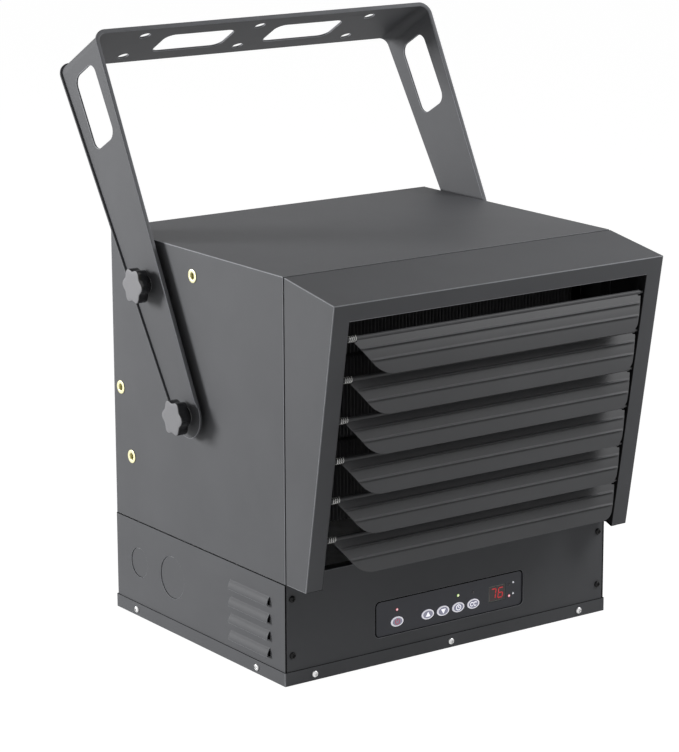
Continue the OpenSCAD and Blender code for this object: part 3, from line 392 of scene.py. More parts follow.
def louver_tree():
    """A louver blade hanging from its pivot along -Z, outside towards -Y, with pressed ribs,
    slanted ends with round corners, a rolled hem and pivot pins."""
    tree, ask = shape_tree("Louver", {
        "Half width": 0.1997, "Chord": 0.0435, "Thickness": 0.0012, "Bow": 0.0016,
        "Rib height": 0.00095, "Rib width": 0.00125, "Root": 0.005, "End taper": 0.027,
        "Corner radius": 0.034, "Right taper": 0.017, "Right radius": 0.016,
        "Hem": 0.0052, "Hem inset": 0.0033, "Hem step": 0.0043, "Pin": 0.003,
        "Pin span": 0.4178, "Offset": 0.002, "Open angle": 0.39})
    blade = grid(tree, 21, 130)
    even, along, _ = point_parts(tree)
    # The columns stand closer towards the ends, where the ribs run out
    inwards = 1.0 - (even * 2.0).then("ABSOLUTE")
    across = (1.0 - inwards.then("MAXIMUM", 0.0) ** 2.0) * 0.5 * even.then("SIGN")
    ending = (inwards * 6.0).then("MINIMUM", 1.0)
    share = 1.0 - (0.5 - along) ** 1.5
    down = share * ask["Chord"]
    past_root = (down - ask["Root"]).then("MAXIMUM", 0.0)

    def outline(taper, radius):
        """Half width of an end that slants and runs into a round corner."""
        slant = taper / (ask["Chord"] - ask["Root"])
        straight = ask["Half width"] - past_root * slant
        lean = slant.then("ARCTANGENT")
        centre = ask["Chord"] - radius
        middle = ask["Half width"] - taper - radius * ((math.pi / 2 - lean) * 0.5).then("TANGENT")
        reach = radius ** 2.0 - (down - centre) ** 2.0
        corner = middle + reach.then("MAXIMUM", 0.0).then("SQRT")
        at_corner = down.then("GREATER_THAN", centre + radius * lean.then("SINE"))
        return straight + at_corner * (corner - straight)

    left = outline(ask["End taper"], ask["Corner radius"])
    right = outline(ask["Right taper"], ask["Right radius"])
    half = left + (right - left) * even.then("GREATER_THAN", 0.0)
    half = half - down.then("LESS_THAN", ask["Hem step"]) * ask["Hem inset"]
    rise = ask["Bow"] * (share * math.pi).then("SINE")
    rib_light_and_shade, rib_shares, wear = 0.0, (0.30, 0.62), 1.3
    for rib in rib_shares:
        off = (down - ask["Chord"] * rib) / ask["Rib width"]
        bump = (off ** 2.0 * -1.0).then("EXPONENT") * ending
        rib_light_and_shade = rib_light_and_shade - off * bump
        rise = rise + ask["Rib height"] * bump
    # The ribs' upper flanks get a painted highlight and the strips under them painted shade
    blade = got(tree, "GeometryNodeStoreNamedAttribute",
                {"Geometry": blade, "Name": "edge", "Value": rib_light_and_shade * wear},
                data_type="FLOAT", domain="POINT")
    outwards = rise + ask["Thickness"] * 0.5
    blade = shaped(tree, blade, across * 2.0 * half, outwards * -1.0, down * -1.0)
    blade = thickened(tree, blade, vector(tree, 0.0, ask["Thickness"], 0.0))
    # The hem runs out on the left as a boss inside the spring, and the pin's tip stands past it
    pin_tip = 0.0005
    boss = ask["Pin span"] * 0.5 - pin_tip
    hem = moved(tree, rod(tree, ask["Hem"], ask["Half width"] + boss),
                vector(tree, (ask["Half width"] - boss) * 0.5))
    body = moved(tree, joined(tree, blade, hem), vector(tree, ask["Offset"], 0.0, 0.0))
    pin = rod(tree, ask["Pin"], ask["Pin span"], 16)
    return placed(tree, ask, moved(tree, joined(tree, body, pin),
                                   turn=vector(tree, ask["Open angle"] * -1.0, 0.0, 0.0)))


def spring_tree():
    """A small coil along X, with a straight end at each side."""
    tree, ask = shape_tree("Louver spring", {"Span": 0.012, "Radius": 0.00315, "Wire": 0.0011,
                                             "Straight": 0.0011, "Curls": 4})
    points_a_curl, points_at_ends = 22.0, 9.0
    count = ask["Curls"] * points_a_curl + points_at_ends
    line = points_in_row(tree, count)
    x = got(tree, "GeometryNodeInputIndex") / (count - 1.0) * ask["Span"]
    curl = (x - ask["Straight"]) / (ask["Span"] - ask["Straight"] * 2.0)
    angle = curl.then("MAXIMUM", 0.0).then("MINIMUM", 1.0) * ask["Curls"] * (2 * math.pi)
    path = shaped(tree, line, x, ask["Radius"] * angle.then("SINE"),
                  ask["Radius"] * angle.then("COSINE"))
    path = got(tree, "GeometryNodeMeshToCurve", {"Mesh": path})
    return placed(tree, ask, swept(tree, path, circle(tree, 10, ask["Wire"] * 0.5), True))


def element_tree():
    """A hairpin tube along X with a row of thin fins, each with a collar round both legs."""
    tree, ask = shape_tree("Finned element", {
        "Tube": 0.011, "Bend": 0.014, "Cold end": 0.2152, "Bend end": 0.2052, "Fin depth": 0.044,
        "Fin height": 0.092, "Fin thickness": 0.0005, "Pitch": 0.0048, "Fins": 84,
        "Collar": 0.0016})
    high = ask["Bend"]
    low, cold, tip = high * -1.0, ask["Cold end"] * -1.0, ask["Bend end"] + high
    corners = ((cold, high), (tip, high), (tip, low), (cold, low))
    path = got(tree, "GeometryNodeCurvePrimitiveQuadrilateral",
               {"Point %d" % (i + 1): vector(tree, x, 0.0, z) for i, (x, z) in enumerate(corners)},
               mode="POINTS")
    path = got(tree, "GeometryNodeSetSplineCyclic", {"Geometry": path, "Cyclic": False})
    tube = swept(tree, filleted(tree, path, high, 10), circle(tree, 18, ask["Tube"] * 0.5), True)
    fin_corner, collar_share = 0.003, 1.16
    plate = filleted(tree, rectangle(tree, ask["Fin height"], ask["Fin depth"]), fin_corner, 2)
    plate = got(tree, "GeometryNodeFillCurve", {"Curve": plate}, mode="NGONS")
    plate = thickened(tree, plate, vector(tree, 0.0, 0.0, ask["Fin thickness"]))
    plate = moved(tree, plate, turn=(0, math.pi / 2, 0))
    legs = [moved(tree, rod(tree, ask["Tube"] * collar_share, ask["Collar"], 12),
                  vector(tree, ask["Collar"] * 0.5, 0.0, high * side)) for side in (1.0, -1.0)]
    first = (ask["Fins"] - 1.0) * (ask["Pitch"] * -0.5)
    row = points_in_row(tree, ask["Fins"], vector(tree, first), vector(tree, ask["Pitch"]))
    return placed(tree, ask, joined(tree, tube, copied(tree, row, joined(tree, plate, *legs))))


def guard_tree():
    """A flat wire guard round Z: rings on spokes, a rim below them and a plate in the middle."""
    tree, ask = shape_tree("Fan guard", {"Radius": 0.1555, "Wire": 0.003, "Ring pitch": 0.017,
                                         "Rings": 7, "Spokes": 8, "Weld": 0.0003})
    wire, pitch, radius = ask["Wire"], ask["Ring pitch"], ask["Radius"]
    index = got(tree, "GeometryNodeInputIndex")
    rings_at = wire * 2.5 - ask["Weld"] * 2.0
    spokes_at = wire * 1.5 - ask["Weld"]
    size = (index + 2.0) * pitch
    rings = copied(tree, points_in_row(tree, ask["Rings"], vector(tree, 0.0, 0.0, rings_at)),
                   circle(tree, 72, 1.0), Scale=vector(tree, size, size, 1.0))
    rings = got(tree, "GeometryNodeRealizeInstances", {"Geometry": rings})
    rim = lifted(tree, circle(tree, 96, radius), wire * 0.5)
    rings = swept(tree, joined(tree, rings, rim), circle(tree, 10, wire * 0.5))
    spoke = moved(tree, rod(tree, wire, radius - pitch, 10), vector(tree, (radius + pitch) * 0.5))
    turn = vector(tree, 0.0, 0.0, index * (2 * math.pi / ask["Spokes"]))
    spokes = copied(tree, points_in_row(tree, ask["Spokes"], vector(tree, 0.0, 0.0, spokes_at)),
                    spoke, Rotation=got(tree, "FunctionNodeEulerToRotation", {0: turn}))
    thick, fillet = 0.0012, 0.0002
    plate = ring_shape(tree, pitch, pitch * 3.0, thick, fillet, spokes_at - thick * 0.5)
    return placed(tree, ask, joined(tree, rings, spokes, plate))


def fan_tree():
    """An axial fan round Z: twisted, cambered blades on a hub with a bore."""
    tree, ask = shape_tree("Fan", {"Tip radius": 0.145, "Root radius": 0.019, "Hub": 0.044,
                                   "Hub length": 0.022, "Bore": 0.0081, "Blades": 5,
                                   "Thickness": 0.0012, "Tip angle": 0.33, "Root angle": 0.62,
                                   "Camber": 0.006, "Blade width": 0.08})
    sheet = grid(tree, 25, 17)
    u, v, _ = point_parts(tree)
    along = u + 0.5
    radius = ask["Root radius"] + along * (ask["Tip radius"] - ask["Root radius"])
    chord = v * (along * 1.75 + 0.42).then("SINE") * ask["Blade width"]
    twist = ask["Root angle"] + along * (ask["Tip angle"] - ask["Root angle"])
    arch = ask["Camber"] * (1.0 - (v * 2.0) ** 2.0)
    sweep = chord * twist.then("COSINE") / radius
    widest = 0.9
    sweep = sweep.then("MAXIMUM", -widest).then("MINIMUM", widest)
    high = (chord * twist.then("SINE") + arch).then("MINIMUM", ask["Hub length"] * 0.72)
    blade = shaped(tree, sheet, radius * sweep.then("COSINE"), radius * sweep.then("SINE"), high)
    blade = thickened(tree, blade, vector(tree, 0.0, 0.0, ask["Thickness"]))
    turn = got(tree, "GeometryNodeInputIndex") * (2 * math.pi / ask["Blades"])
    turn = got(tree, "FunctionNodeEulerToRotation", {0: vector(tree, 0.0, 0.0, turn)})
    blades = copied(tree, points_in_row(tree, ask["Blades"]), blade, Rotation=turn)
    hub = ring_shape(tree, ask["Bore"], ask["Hub"], ask["Hub length"], 0.003,
                     ask["Hub length"] * -0.5)
    return placed(tree, ask, joined(tree, blades, hub))


# Pieces

def linked(name, data):
    """An object of the data, in the scene."""
    thing = bpy.data.objects.new(name, data)
    bpy.context.scene.collection.objects.link(thing)
    return thing


def evaluated(thing, name):
    """The plain mesh that an object's modifiers give."""
    graph = bpy.context.evaluated_depsgraph_get()
    mesh = bpy.data.meshes.new_from_object(thing.evaluated_get(graph))
    mesh.name = name
    return mesh


def drawn(name, draw, *finishes):
    """A mesh that a function draws."""
    bm = bmesh.new()
    draw(bm)
    mesh = bpy.data.meshes.new(name)
    bm.to_mesh(mesh)
    bm.free()
    for finish in finishes:
        mesh.materials.append(finish_of(finish))
    return mesh


def new_piece(name, mesh, *nodes, body=None, slot=None, angle=35):
    """Makes a finished mesh a piece: doubles are merged, faces look outwards and edges below
    the angle are shaded smooth. It stands for the nodes and rides with them."""
    bm = bmesh.new()
    bm.from_mesh(mesh)
    bmesh.ops.remove_doubles(bm, verts=bm.verts, dist=2e-7)
    bmesh.ops.recalc_face_normals(bm, faces=bm.faces)
    bm.to_mesh(mesh)
    bm.free()
    mesh.shade_smooth()
    mesh.set_sharp_from_angle(angle=math.radians(angle))
    return settled(linked(name, mesh), *nodes, body=body, slot=slot)


def settled(piece, *nodes, body=None, slot=None):
    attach(piece, body or BODY_OF[nodes[0]])
    if nodes:
        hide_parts(*nodes)
    return piece


def baked(name, tree, places, node, angle=35, **sizes):
    """Runs a tree on its places, each a point and a turn, and makes the result a piece."""
    mesh = bpy.data.meshes.new(name)
    mesh.from_pydata([point for point, _ in places], [], [])
    turns = mesh.attributes.new("turn", "FLOAT_VECTOR", "POINT")
    turns.data.foreach_set("vector", [value for _, turn in places for value in turn])
    seed = linked(name + "_seed", mesh)
    modifier = seed.modifiers.new("Build", "NODES")
    modifier.node_group = tree
    sizes["finish"] = finish_of(SLOT_OF[node])
    for item in tree.interface.items_tree:
        label = item.name.lower().replace(" ", "_")
        if item.item_type == "SOCKET" and item.in_out == "INPUT" and label in sizes:
            modifier[item.identifier] = sizes.pop(label)
    if sizes:
        raise RuntimeError("the tree has no input for %s" % sorted(sizes))
    result = evaluated(seed, name)
    bpy.data.objects.remove(seed)
    if not result.polygons:
        raise RuntimeError(name + " came out empty")
    return new_piece(name, result, node, angle=angle)


def solids(node):
    """Boxes of a CAD node's separate solids, as pairs of corners."""
    bm = bmesh.new()
    bm.from_mesh(NODES[node].data)
    bmesh.ops.remove_doubles(bm, verts=bm.verts, dist=1e-6)
    left, boxes = set(bm.verts), []
    while left:
        group, edge = set(), [left.pop()]
        while edge:
            vert = edge.pop()
            group.add(vert)
            near = {link.other_vert(vert) for link in vert.link_edges} & left
            left -= near
            edge.extend(near)
        boxes.append((Vector(min(v.co[i] for v in group) for i in range(3)),
                      Vector(max(v.co[i] for v in group) for i in range(3))))
    bm.free()
    return sorted(boxes, key=lambda box: tuple(round(c, 5) for c in box[0]))


def on_end(low, high, axis, side, depth):
    """A point at a depth below a box's end, and the turn that brings +Z out of that end."""
    seat, way = (low + high) / 2, Vector((0, 0, 0))
    seat[axis] = (high if side > 0 else low)[axis] - side * depth
    way[axis] = side
    return tuple(seat), tuple(Vector((0, 0, 1)).rotation_difference(way).to_euler())


def shade_mark(face, low, high, seams, inner):
    """1 on a rounded edge, for a painted highlight with a little wear; below 0 for painted shade in a seam's gap
    or on an inner face; or else 0.
    """
    for axis, side, reach in seams:
        gap = high[axis] - face.center[axis] if side > 0 else face.center[axis] - low[axis]
        if abs(gap) < reach:
            return -0.95
    middle = (low + high) / 2
    if inner and face.normal.x * (face.center.x - middle.x) < -0.02 * abs(face.normal.x):
        return -0.8
    return float(face.material_index == 1)


def folded(name, node, finish=None, fold=None, cut=None, seams=(), inner=False):
    """A copy of a CAD node's sheet with rounded folds and cut edges, marked for a painted highlight with a little
    wear. Seams get painted shade: each is an axis, a side of the sheet's box and a reach from it. With inner set,
    inner faces get painted shade too."""
    sheet = bpy.context.scene.heater_sheet
    fold, cut = fold or sheet.fold_radius, cut or sheet.cut_radius
    mesh = NODES[node].data.copy()
    bm = bmesh.new()
    bm.from_mesh(mesh)
    bmesh.ops.remove_doubles(bm, verts=bm.verts, dist=2e-6)
    bmesh.ops.dissolve_limit(bm, angle_limit=math.radians(0.6), verts=bm.verts, edges=bm.edges)
    weight = bm.edges.layers.float.new("bevel_weight_edge")
    for edge in bm.edges:
        sharp = len(edge.link_faces) == 2 and edge.calc_face_angle(0) >= math.radians(30)
        if sharp and edge.is_convex:
            long = edge.calc_length()
            room = min(face.calc_area() / max(long, 1e-6) for face in edge.link_faces)
            radius = fold if room > 6 * fold and long > 8 * fold else cut
            edge[weight] = min(radius, 0.3 * room) / fold
    for face in bm.faces:
        face.material_index = 0
    bm.to_mesh(mesh)
    bm.free()
    # The bevel's faces get the second of two like finishes, which tells them apart
    mesh.materials.clear()
    for _ in range(2):
        mesh.materials.append(finish_of(finish or SLOT_OF[node]))
    piece = linked(name, mesh)
    bevel = piece.modifiers.new("Folds", "BEVEL")
    for setting, value in dict(limit_method="WEIGHT", width=fold, segments=2, material=1,
                               use_clamp_overlap=False, miter_outer="MITER_ARC").items():
        setattr(bevel, setting, value)
    piece.data = result = evaluated(piece, name)
    piece.modifiers.clear()
    # The 'edge' mark carries the painted highlight on the bevels and the painted shade in seams and inside
    edge = result.attributes.new("edge", "FLOAT", "FACE")
    low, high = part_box(node)
    edge.data.foreach_set("value", [shade_mark(face, low, high, seams, inner)
                                    for face in result.polygons])
    for face in result.polygons:
        face.material_index = 0
    result.materials.pop(index=1)
    result.shade_smooth()
    result.set_sharp_from_angle(angle=math.radians(50))
    piece.modifiers.new("Even shading", "WEIGHTED_NORMAL").keep_sharp = True
    piece.data = evaluated(piece, name)
    piece.modifiers.clear()
    return settled(piece, node)


def around(count):
    """Angles all the way round."""
    return [2 * math.pi * k / count for k in range(count)]


def bridged(bm, rows):
    """Skins neighbouring rows of points, each closed on itself, and gives the bands of faces."""
    return [[bm.faces.new([low[k], low[(k + 1) % len(low)], high[(k + 1) % len(low)], high[k]])
             for k in range(len(low))] for low, high in zip(rows, rows[1:])]


def lofted(bm, rings, layer=None, marks=None):
    """Skins a row of rings of points and closes both ends. Marks are values for each band."""
    rows = [[bm.verts.new(point) for point in ring] for ring in rings]
    foot = bm.faces.new(rows[0][::-1])
    bands = bridged(bm, rows)
    bands[0].append(foot)
    bands[-1].append(bm.faces.new(rows[-1]))
    if layer is not None:
        for band, mark in zip(bands, marks):
            for face in band:
                face[layer] = mark
    return [face for band in bands for face in band]


def prism(bm, outline, place, low, high):
    """A thin closed plate from a flat outline; place(x, z, lift) gives a point."""
    lofted(bm, [[place(x, z, lift) for x, z in outline] for lift in (low, high)])


def arc(radius, start, end, steps=20, middle=(0, 0)):
    angles = [math.radians(start + (end - start) * i / steps) for i in range(steps + 1)]
    return [(middle[0] + radius * math.cos(a), middle[1] + radius * math.sin(a)) for a in angles]


def print_band(bm, path, width, place, low, high, closed=False):
    """One closed strip along a path, following the surface under it."""
    count, rows = len(path), []
    for i, point in enumerate(path):
        before = path[i - 1] if closed or i else path[0]
        after = path[(i + 1) % count] if closed or i < count - 1 else path[-1]
        way = (Vector(after) - Vector(before)).normalized()
        off = Vector((-way.y, way.x)) * width / 2
        rows.append([bm.verts.new(place(p.x, p.y, lift))
                     for p in (Vector(point) + off, Vector(point) - off) for lift in (low, high)])
    for i in range(count if closed else count - 1):
        a, b = rows[i], rows[(i + 1) % count]
        for k, j in ((0, 2), (2, 3), (3, 1), (1, 0)):
            bm.faces.new([a[k], a[j], b[j], b[k]])
    if not closed:
        for end in (rows[0], rows[-1]):
            bm.faces.new([end[0], end[2], end[3], end[1]])


def bracket_lips(rise):
    """Lips turned outwards along the front and rear edges of the bracket's arms and crossbar."""
    pivot = PIVOT_OF["bracket_tilt"]
    up, rear = Vector((0, 0.5, math.cos(math.pi / 6))), Vector((0, math.cos(math.pi / 6), -0.5))
    # The plate: half its width, its reach from the pivot, the radius of its bends, its thickness,
    # and half its depth at the arms' ends and along the crossbar
    out_x, reach, bend, thick, end_half, bar_half = 0.2392, 0.453, 0.013, 0.0025, 0.0265, 0.049
    # The lips: how far they stand before the edge and in the plate, and their rounding
    proud, sunk, nose, bevel, foot = 0.0003, 0.00005, 0.0007, 0.0002, 0.0009

    def half_depth(along):
        return end_half + (bar_half - end_half) * min(1.0, along / (reach - bend))

    # Points along the outer face of the left arm and the left half of the crossbar: across,
    # along, and the direction that the outer face looks in
    line = [(-out_x, reach * share, -1.0, 0.0) for share in (0.0, 0.02, 0.3, 0.6)]
    line += [(-out_x + bend - bend * math.cos(a), reach - bend + bend * math.sin(a),
              -math.cos(a), math.sin(a)) for a in (math.pi / 2 * k / 10 for k in range(11))]
    line += [(-x, z, -nx, nz) for x, z, nx, nz in reversed(line)]
    # The lip's section: distance out from the outer face, and back from the plate's edge
    section = [(sunk - thick, foot), (proud - thick, proud), (foot - thick, 0.0),
               (rise - nose, 0.0), (rise - bevel, bevel), (rise, nose), (rise, thick - nose),
               (rise - bevel, thick - bevel), (rise - nose, thick), (sunk - thick, thick)]

    def draw(bm):
        layer = bm.faces.layers.float.new("edge")
        for side in (-1, 1):
            rings = []
            for number, (x, z, nx, nz) in enumerate(line):
                fade = 0.3 if number in (0, len(line) - 1) else 1.0
                edge = half_depth(z) + proud
                ring = [Vector((x + nx * out * (fade if out > 0 else 1.0), pivot.y, pivot.z))
                        + up * (z + nz * out) + rear * side * (edge - back)
                        for out, back in section]
                rings.append(ring if side < 0 else ring[::-1])
            for face in lofted(bm, rings):
                # The lips' outer faces get 0.5: a painted highlight that lightens the band along the edges
                middle = face.calc_center_median() - pivot
                outside = abs(middle.dot(rear)) > half_depth(middle.dot(up)) - 0.0004
                face[layer] = 0.5 if outside else 0.0

    return new_piece("bracket_lips", drawn("bracket_lips", draw, "cabinet_paint"),
                     body="bracket", slot="cabinet_paint", angle=50)


# Finishes

def shader_group(name, inputs, outputs):
    """A shader tree with its inputs' wires and the place on the object."""
    tree = bpy.data.node_groups.new(name, "ShaderNodeTree")
    for label, value in inputs.items():
        kind = "NodeSocketColor" if value == WHITE else SOCKETS[type(value)]
        socket = tree.interface.new_socket(label, in_out="INPUT", socket_type=kind)
        socket.default_value = value
    for label in outputs:
        kind = "NodeSocketColor" if label == "Color" else "NodeSocketFloat"
        tree.interface.new_socket(label, in_out="OUTPUT", socket_type=kind)
    return (tree, wires(put(tree, "NodeGroupInput")),
            got(tree, "ShaderNodeTexCoord", outlet="Object"))


def noise(tree, place, scale, detail, roughness=0.5):
    return got(tree, "ShaderNodeTexNoise", {"Vector": place, "Scale": scale, "Detail": detail,
                                            "Roughness": roughness})


def cells(tree, place, scale, feature):
    return got(tree, "ShaderNodeTexVoronoi", {"Vector": place, "Scale": scale},
               outlet="Distance", feature=feature)


def grain_group():
    """Fine coat grain: a height for bumps, and a slow cloud for colour and gloss."""
    tree, ask, place = shader_group("Coat grain", {"Grain size": 0.0006, "Cloud size": 0.09},
                                    ("Height", "Cloud", "Speck"))
    grain = noise(tree, place, 1.0 / ask["Grain size"], 2.0, 0.55)
    pits = cells(tree, place, 0.55 / ask["Grain size"], "F1")
    cloud = noise(tree, place, 1.0 / ask["Cloud size"], 4.0, 0.6)
    height = got(tree, "ShaderNodeMix", {"Factor": 0.7, "A": pits, "B": grain})
    put(tree, "NodeGroupOutput", {"Height": height, "Cloud": cloud, "Speck": grain})
    return tree


def wear_and_highlight_group():
    """Lightens a colour along rounded edges, broken up by noise: on the coat a painted highlight with a little
    wear, on moulded plastic a lighter random tone.
    """
    tree, ask, place = shader_group("Edge wear", {"Color": WHITE, "Worn": WHITE, "Edge": 0.0,
                                                  "Amount": 0.5}, ("Color",))
    broken = noise(tree, place, 60.0, 3.0) * 0.5 + 0.5
    mask = (ask["Edge"] * broken * ask["Amount"]).then("MAXIMUM", 0.0)
    colours = got(tree, "ShaderNodeMix", {0: mask, 6: ask["Color"], 7: ask["Worn"]}, outlet=2,
                  data_type="RGBA")
    put(tree, "NodeGroupOutput", {"Color": colours})
    return tree


def brush_group():
    """Fine drawn lines along X, and blotches of plating."""
    tree, ask, place = shader_group("Drawn metal", {"Line size": 0.0003, "Blotch size": 0.012,
                                                    "Stretch": 24.0}, ("Height", "Blotch"))
    scale = vector(tree, 1.0 / ask["Stretch"], 1.0, 1.0)
    long = got(tree, "ShaderNodeVectorMath", {0: place, 1: scale}, operation="MULTIPLY")
    put(tree, "NodeGroupOutput", {
        "Height": noise(tree, long, 1.0 / ask["Line size"], 2.0),
        "Blotch": cells(tree, place, 1.0 / ask["Blotch size"], "SMOOTH_F1")})
    return tree


GROUPS = {}


def effect(tree, maker, values):
    """Adds a shader group, made when it is first asked for, and gives its wires."""
    if maker not in GROUPS:
        GROUPS[maker] = maker()
    return wires(put(tree, "ShaderNodeGroup", values, node_tree=GROUPS[maker]))


def blend_colour(tree, mask, low, high, low_mask=0.3, high_mask=0.7):
    """A colour between two, where the mask runs between two values."""
    ramp = tree.nodes.new("ShaderNodeValToRGB")
    for end, share, tint in zip(ramp.color_ramp.elements, (low_mask, high_mask), (low, high)):
        end.position, end.color = share, (*tint[:3], 1)
    plug(tree, ramp.inputs[0], mask)
    return Wire(tree, ramp.outputs[0])


def ranged(tree, mask, low, high):
    return got(tree, "ShaderNodeMapRange", {"Value": mask, "From Min": 0.25, "From Max": 0.75,
                                            "To Min": low, "To Max": high})


def new_finish(name):
    finish = bpy.data.materials.new(name)
    finish.use_nodes = True
    return finish, finish.node_tree


def shaded(tree, **sockets):
    shader = tree.nodes["Principled BSDF"]
    for key, value in sockets.items():
        plug(tree, shader.inputs[key.replace("_", " ").title().replace("Ior", "IOR")], value)


def bumped(tree, height, strength, distance):
    return got(tree, "ShaderNodeBump", {"Height": height, "Strength": strength,
                                        "Distance": distance})


def scaled(colour_value, share):
    return tuple(min(1.0, c * share) for c in colour_value[:3])


def coat(name, base, gloss=0.58, spread=0.1, bump=0.16, specular=0.2):
    """Powder coat or matt paint with grain, slow clouds, a painted highlight with a little wear along its edges,
    and painted shade in seams and on inner faces.
    """
    finish, tree = new_finish(name)
    grain = 0.0006
    marks = effect(tree, grain_group, {"Grain size": grain, "Cloud size": 0.11})
    colours = blend_colour(tree, marks["Cloud"], scaled(base, 0.94), scaled(base, 1.06))
    edge = got(tree, "ShaderNodeAttribute", outlet="Fac", attribute_name="edge")
    # Edges up to 4.2 times lighter: a painted highlight, with a little wear
    colours = effect(tree, wear_and_highlight_group, {"Color": colours, "Worn": (*scaled(base, 4.2), 1),
                                        "Edge": edge, "Amount": 1.0})["Color"]
    # An edge below 0 is a seam or an inner face, which gets painted shade and less shine
    dark = edge * -1.0
    shadow = blend_colour(tree, dark, WHITE, (0, 0, 0), 0.0, 1.0)
    colours = got(tree, "ShaderNodeVectorMath", {0: colours, 1: shadow}, operation="MULTIPLY")
    shaded(tree, base_color=colours,
           specular_ior_level=(1.0 - dark.then("MAXIMUM", 0.0)) * specular,
           roughness=ranged(tree, marks["Speck"], gloss - spread / 2, gloss + spread / 2),
           normal=bumped(tree, marks["Height"], bump, grain * 0.35))
    return finish


def plating(name, base, gloss=0.28, stretch=24.0, line=0.0003, metallic=1.0):
    """Bare or plated metal with drawn lines and blotches."""
    finish, tree = new_finish(name)
    marks = effect(tree, brush_group, {"Line size": line, "Stretch": stretch})
    colours = blend_colour(tree, marks["Blotch"], scaled(base, 0.86), scaled(base, 1.1), 0.1, 0.8)
    shaded(tree, base_color=colours, metallic=metallic,
           roughness=ranged(tree, marks["Height"], gloss, gloss + 0.14),
           normal=bumped(tree, marks["Height"], 0.12, line * 0.3))
    return finish


def moulding(name, base, gloss=0.4, grain=0.0004, bump=0.12, specular=0.5, painted_glow=0.0):
    """Moulded plastic, rubber or ceramic, with a painted glow where one is given."""
    finish, tree = new_finish(name)
    marks = effect(tree, grain_group, {"Grain size": grain, "Cloud size": 0.03})
    colours = blend_colour(tree, marks["Cloud"], scaled(base, 0.94), scaled(base, 1.06))
    shaded(tree, base_color=colours, specular_ior_level=specular, emission_color=colours,
           emission_strength=painted_glow, normal=bumped(tree, marks["Height"], bump, grain * 0.3),
           roughness=ranged(tree, marks["Speck"], gloss - 0.05, gloss + 0.05))
    return finish


def lit(name, base, strength):
    """A lamp or a lit segment: it glows a little unevenly."""
    finish, tree = new_finish(name)
    marks = effect(tree, grain_group, {"Grain size": 0.0005, "Cloud size": 0.002})
    colours = blend_colour(tree, marks["Cloud"], scaled(base, 0.85), scaled(base, 1.1))
    shaded(tree, base_color=colours, emission_color=colours, emission_strength=strength,
           roughness=ranged(tree, marks["Speck"], 0.26, 0.34))
    return finish


def two_tone(name, attribute, plain, marked, plain_gloss, marked_gloss, painted_glow=0.0):
    """Plastic whose marked faces have another colour and gloss, with a painted glow where one is given."""
    finish, tree = new_finish(name)
    grain = 0.0004
    marks = effect(tree, grain_group, {"Grain size": grain, "Cloud size": 0.02})
    mask = got(tree, "ShaderNodeAttribute", outlet="Fac", attribute_name=attribute)
    colours = blend_colour(tree, mask, plain, marked, 0.0, 1.0)
    colours = effect(tree, wear_and_highlight_group, {"Color": colours, "Worn": (*scaled(marked, 1.15), 1),
                                        "Edge": marks["Cloud"], "Amount": 0.25})["Color"]
    shaded(tree, base_color=colours, roughness=mask * (marked_gloss - plain_gloss) + plain_gloss,
           emission_color=colours, emission_strength=painted_glow,
           normal=bumped(tree, marks["Height"], 0.1, grain * 0.3))
    return finish


FINISHES = {}


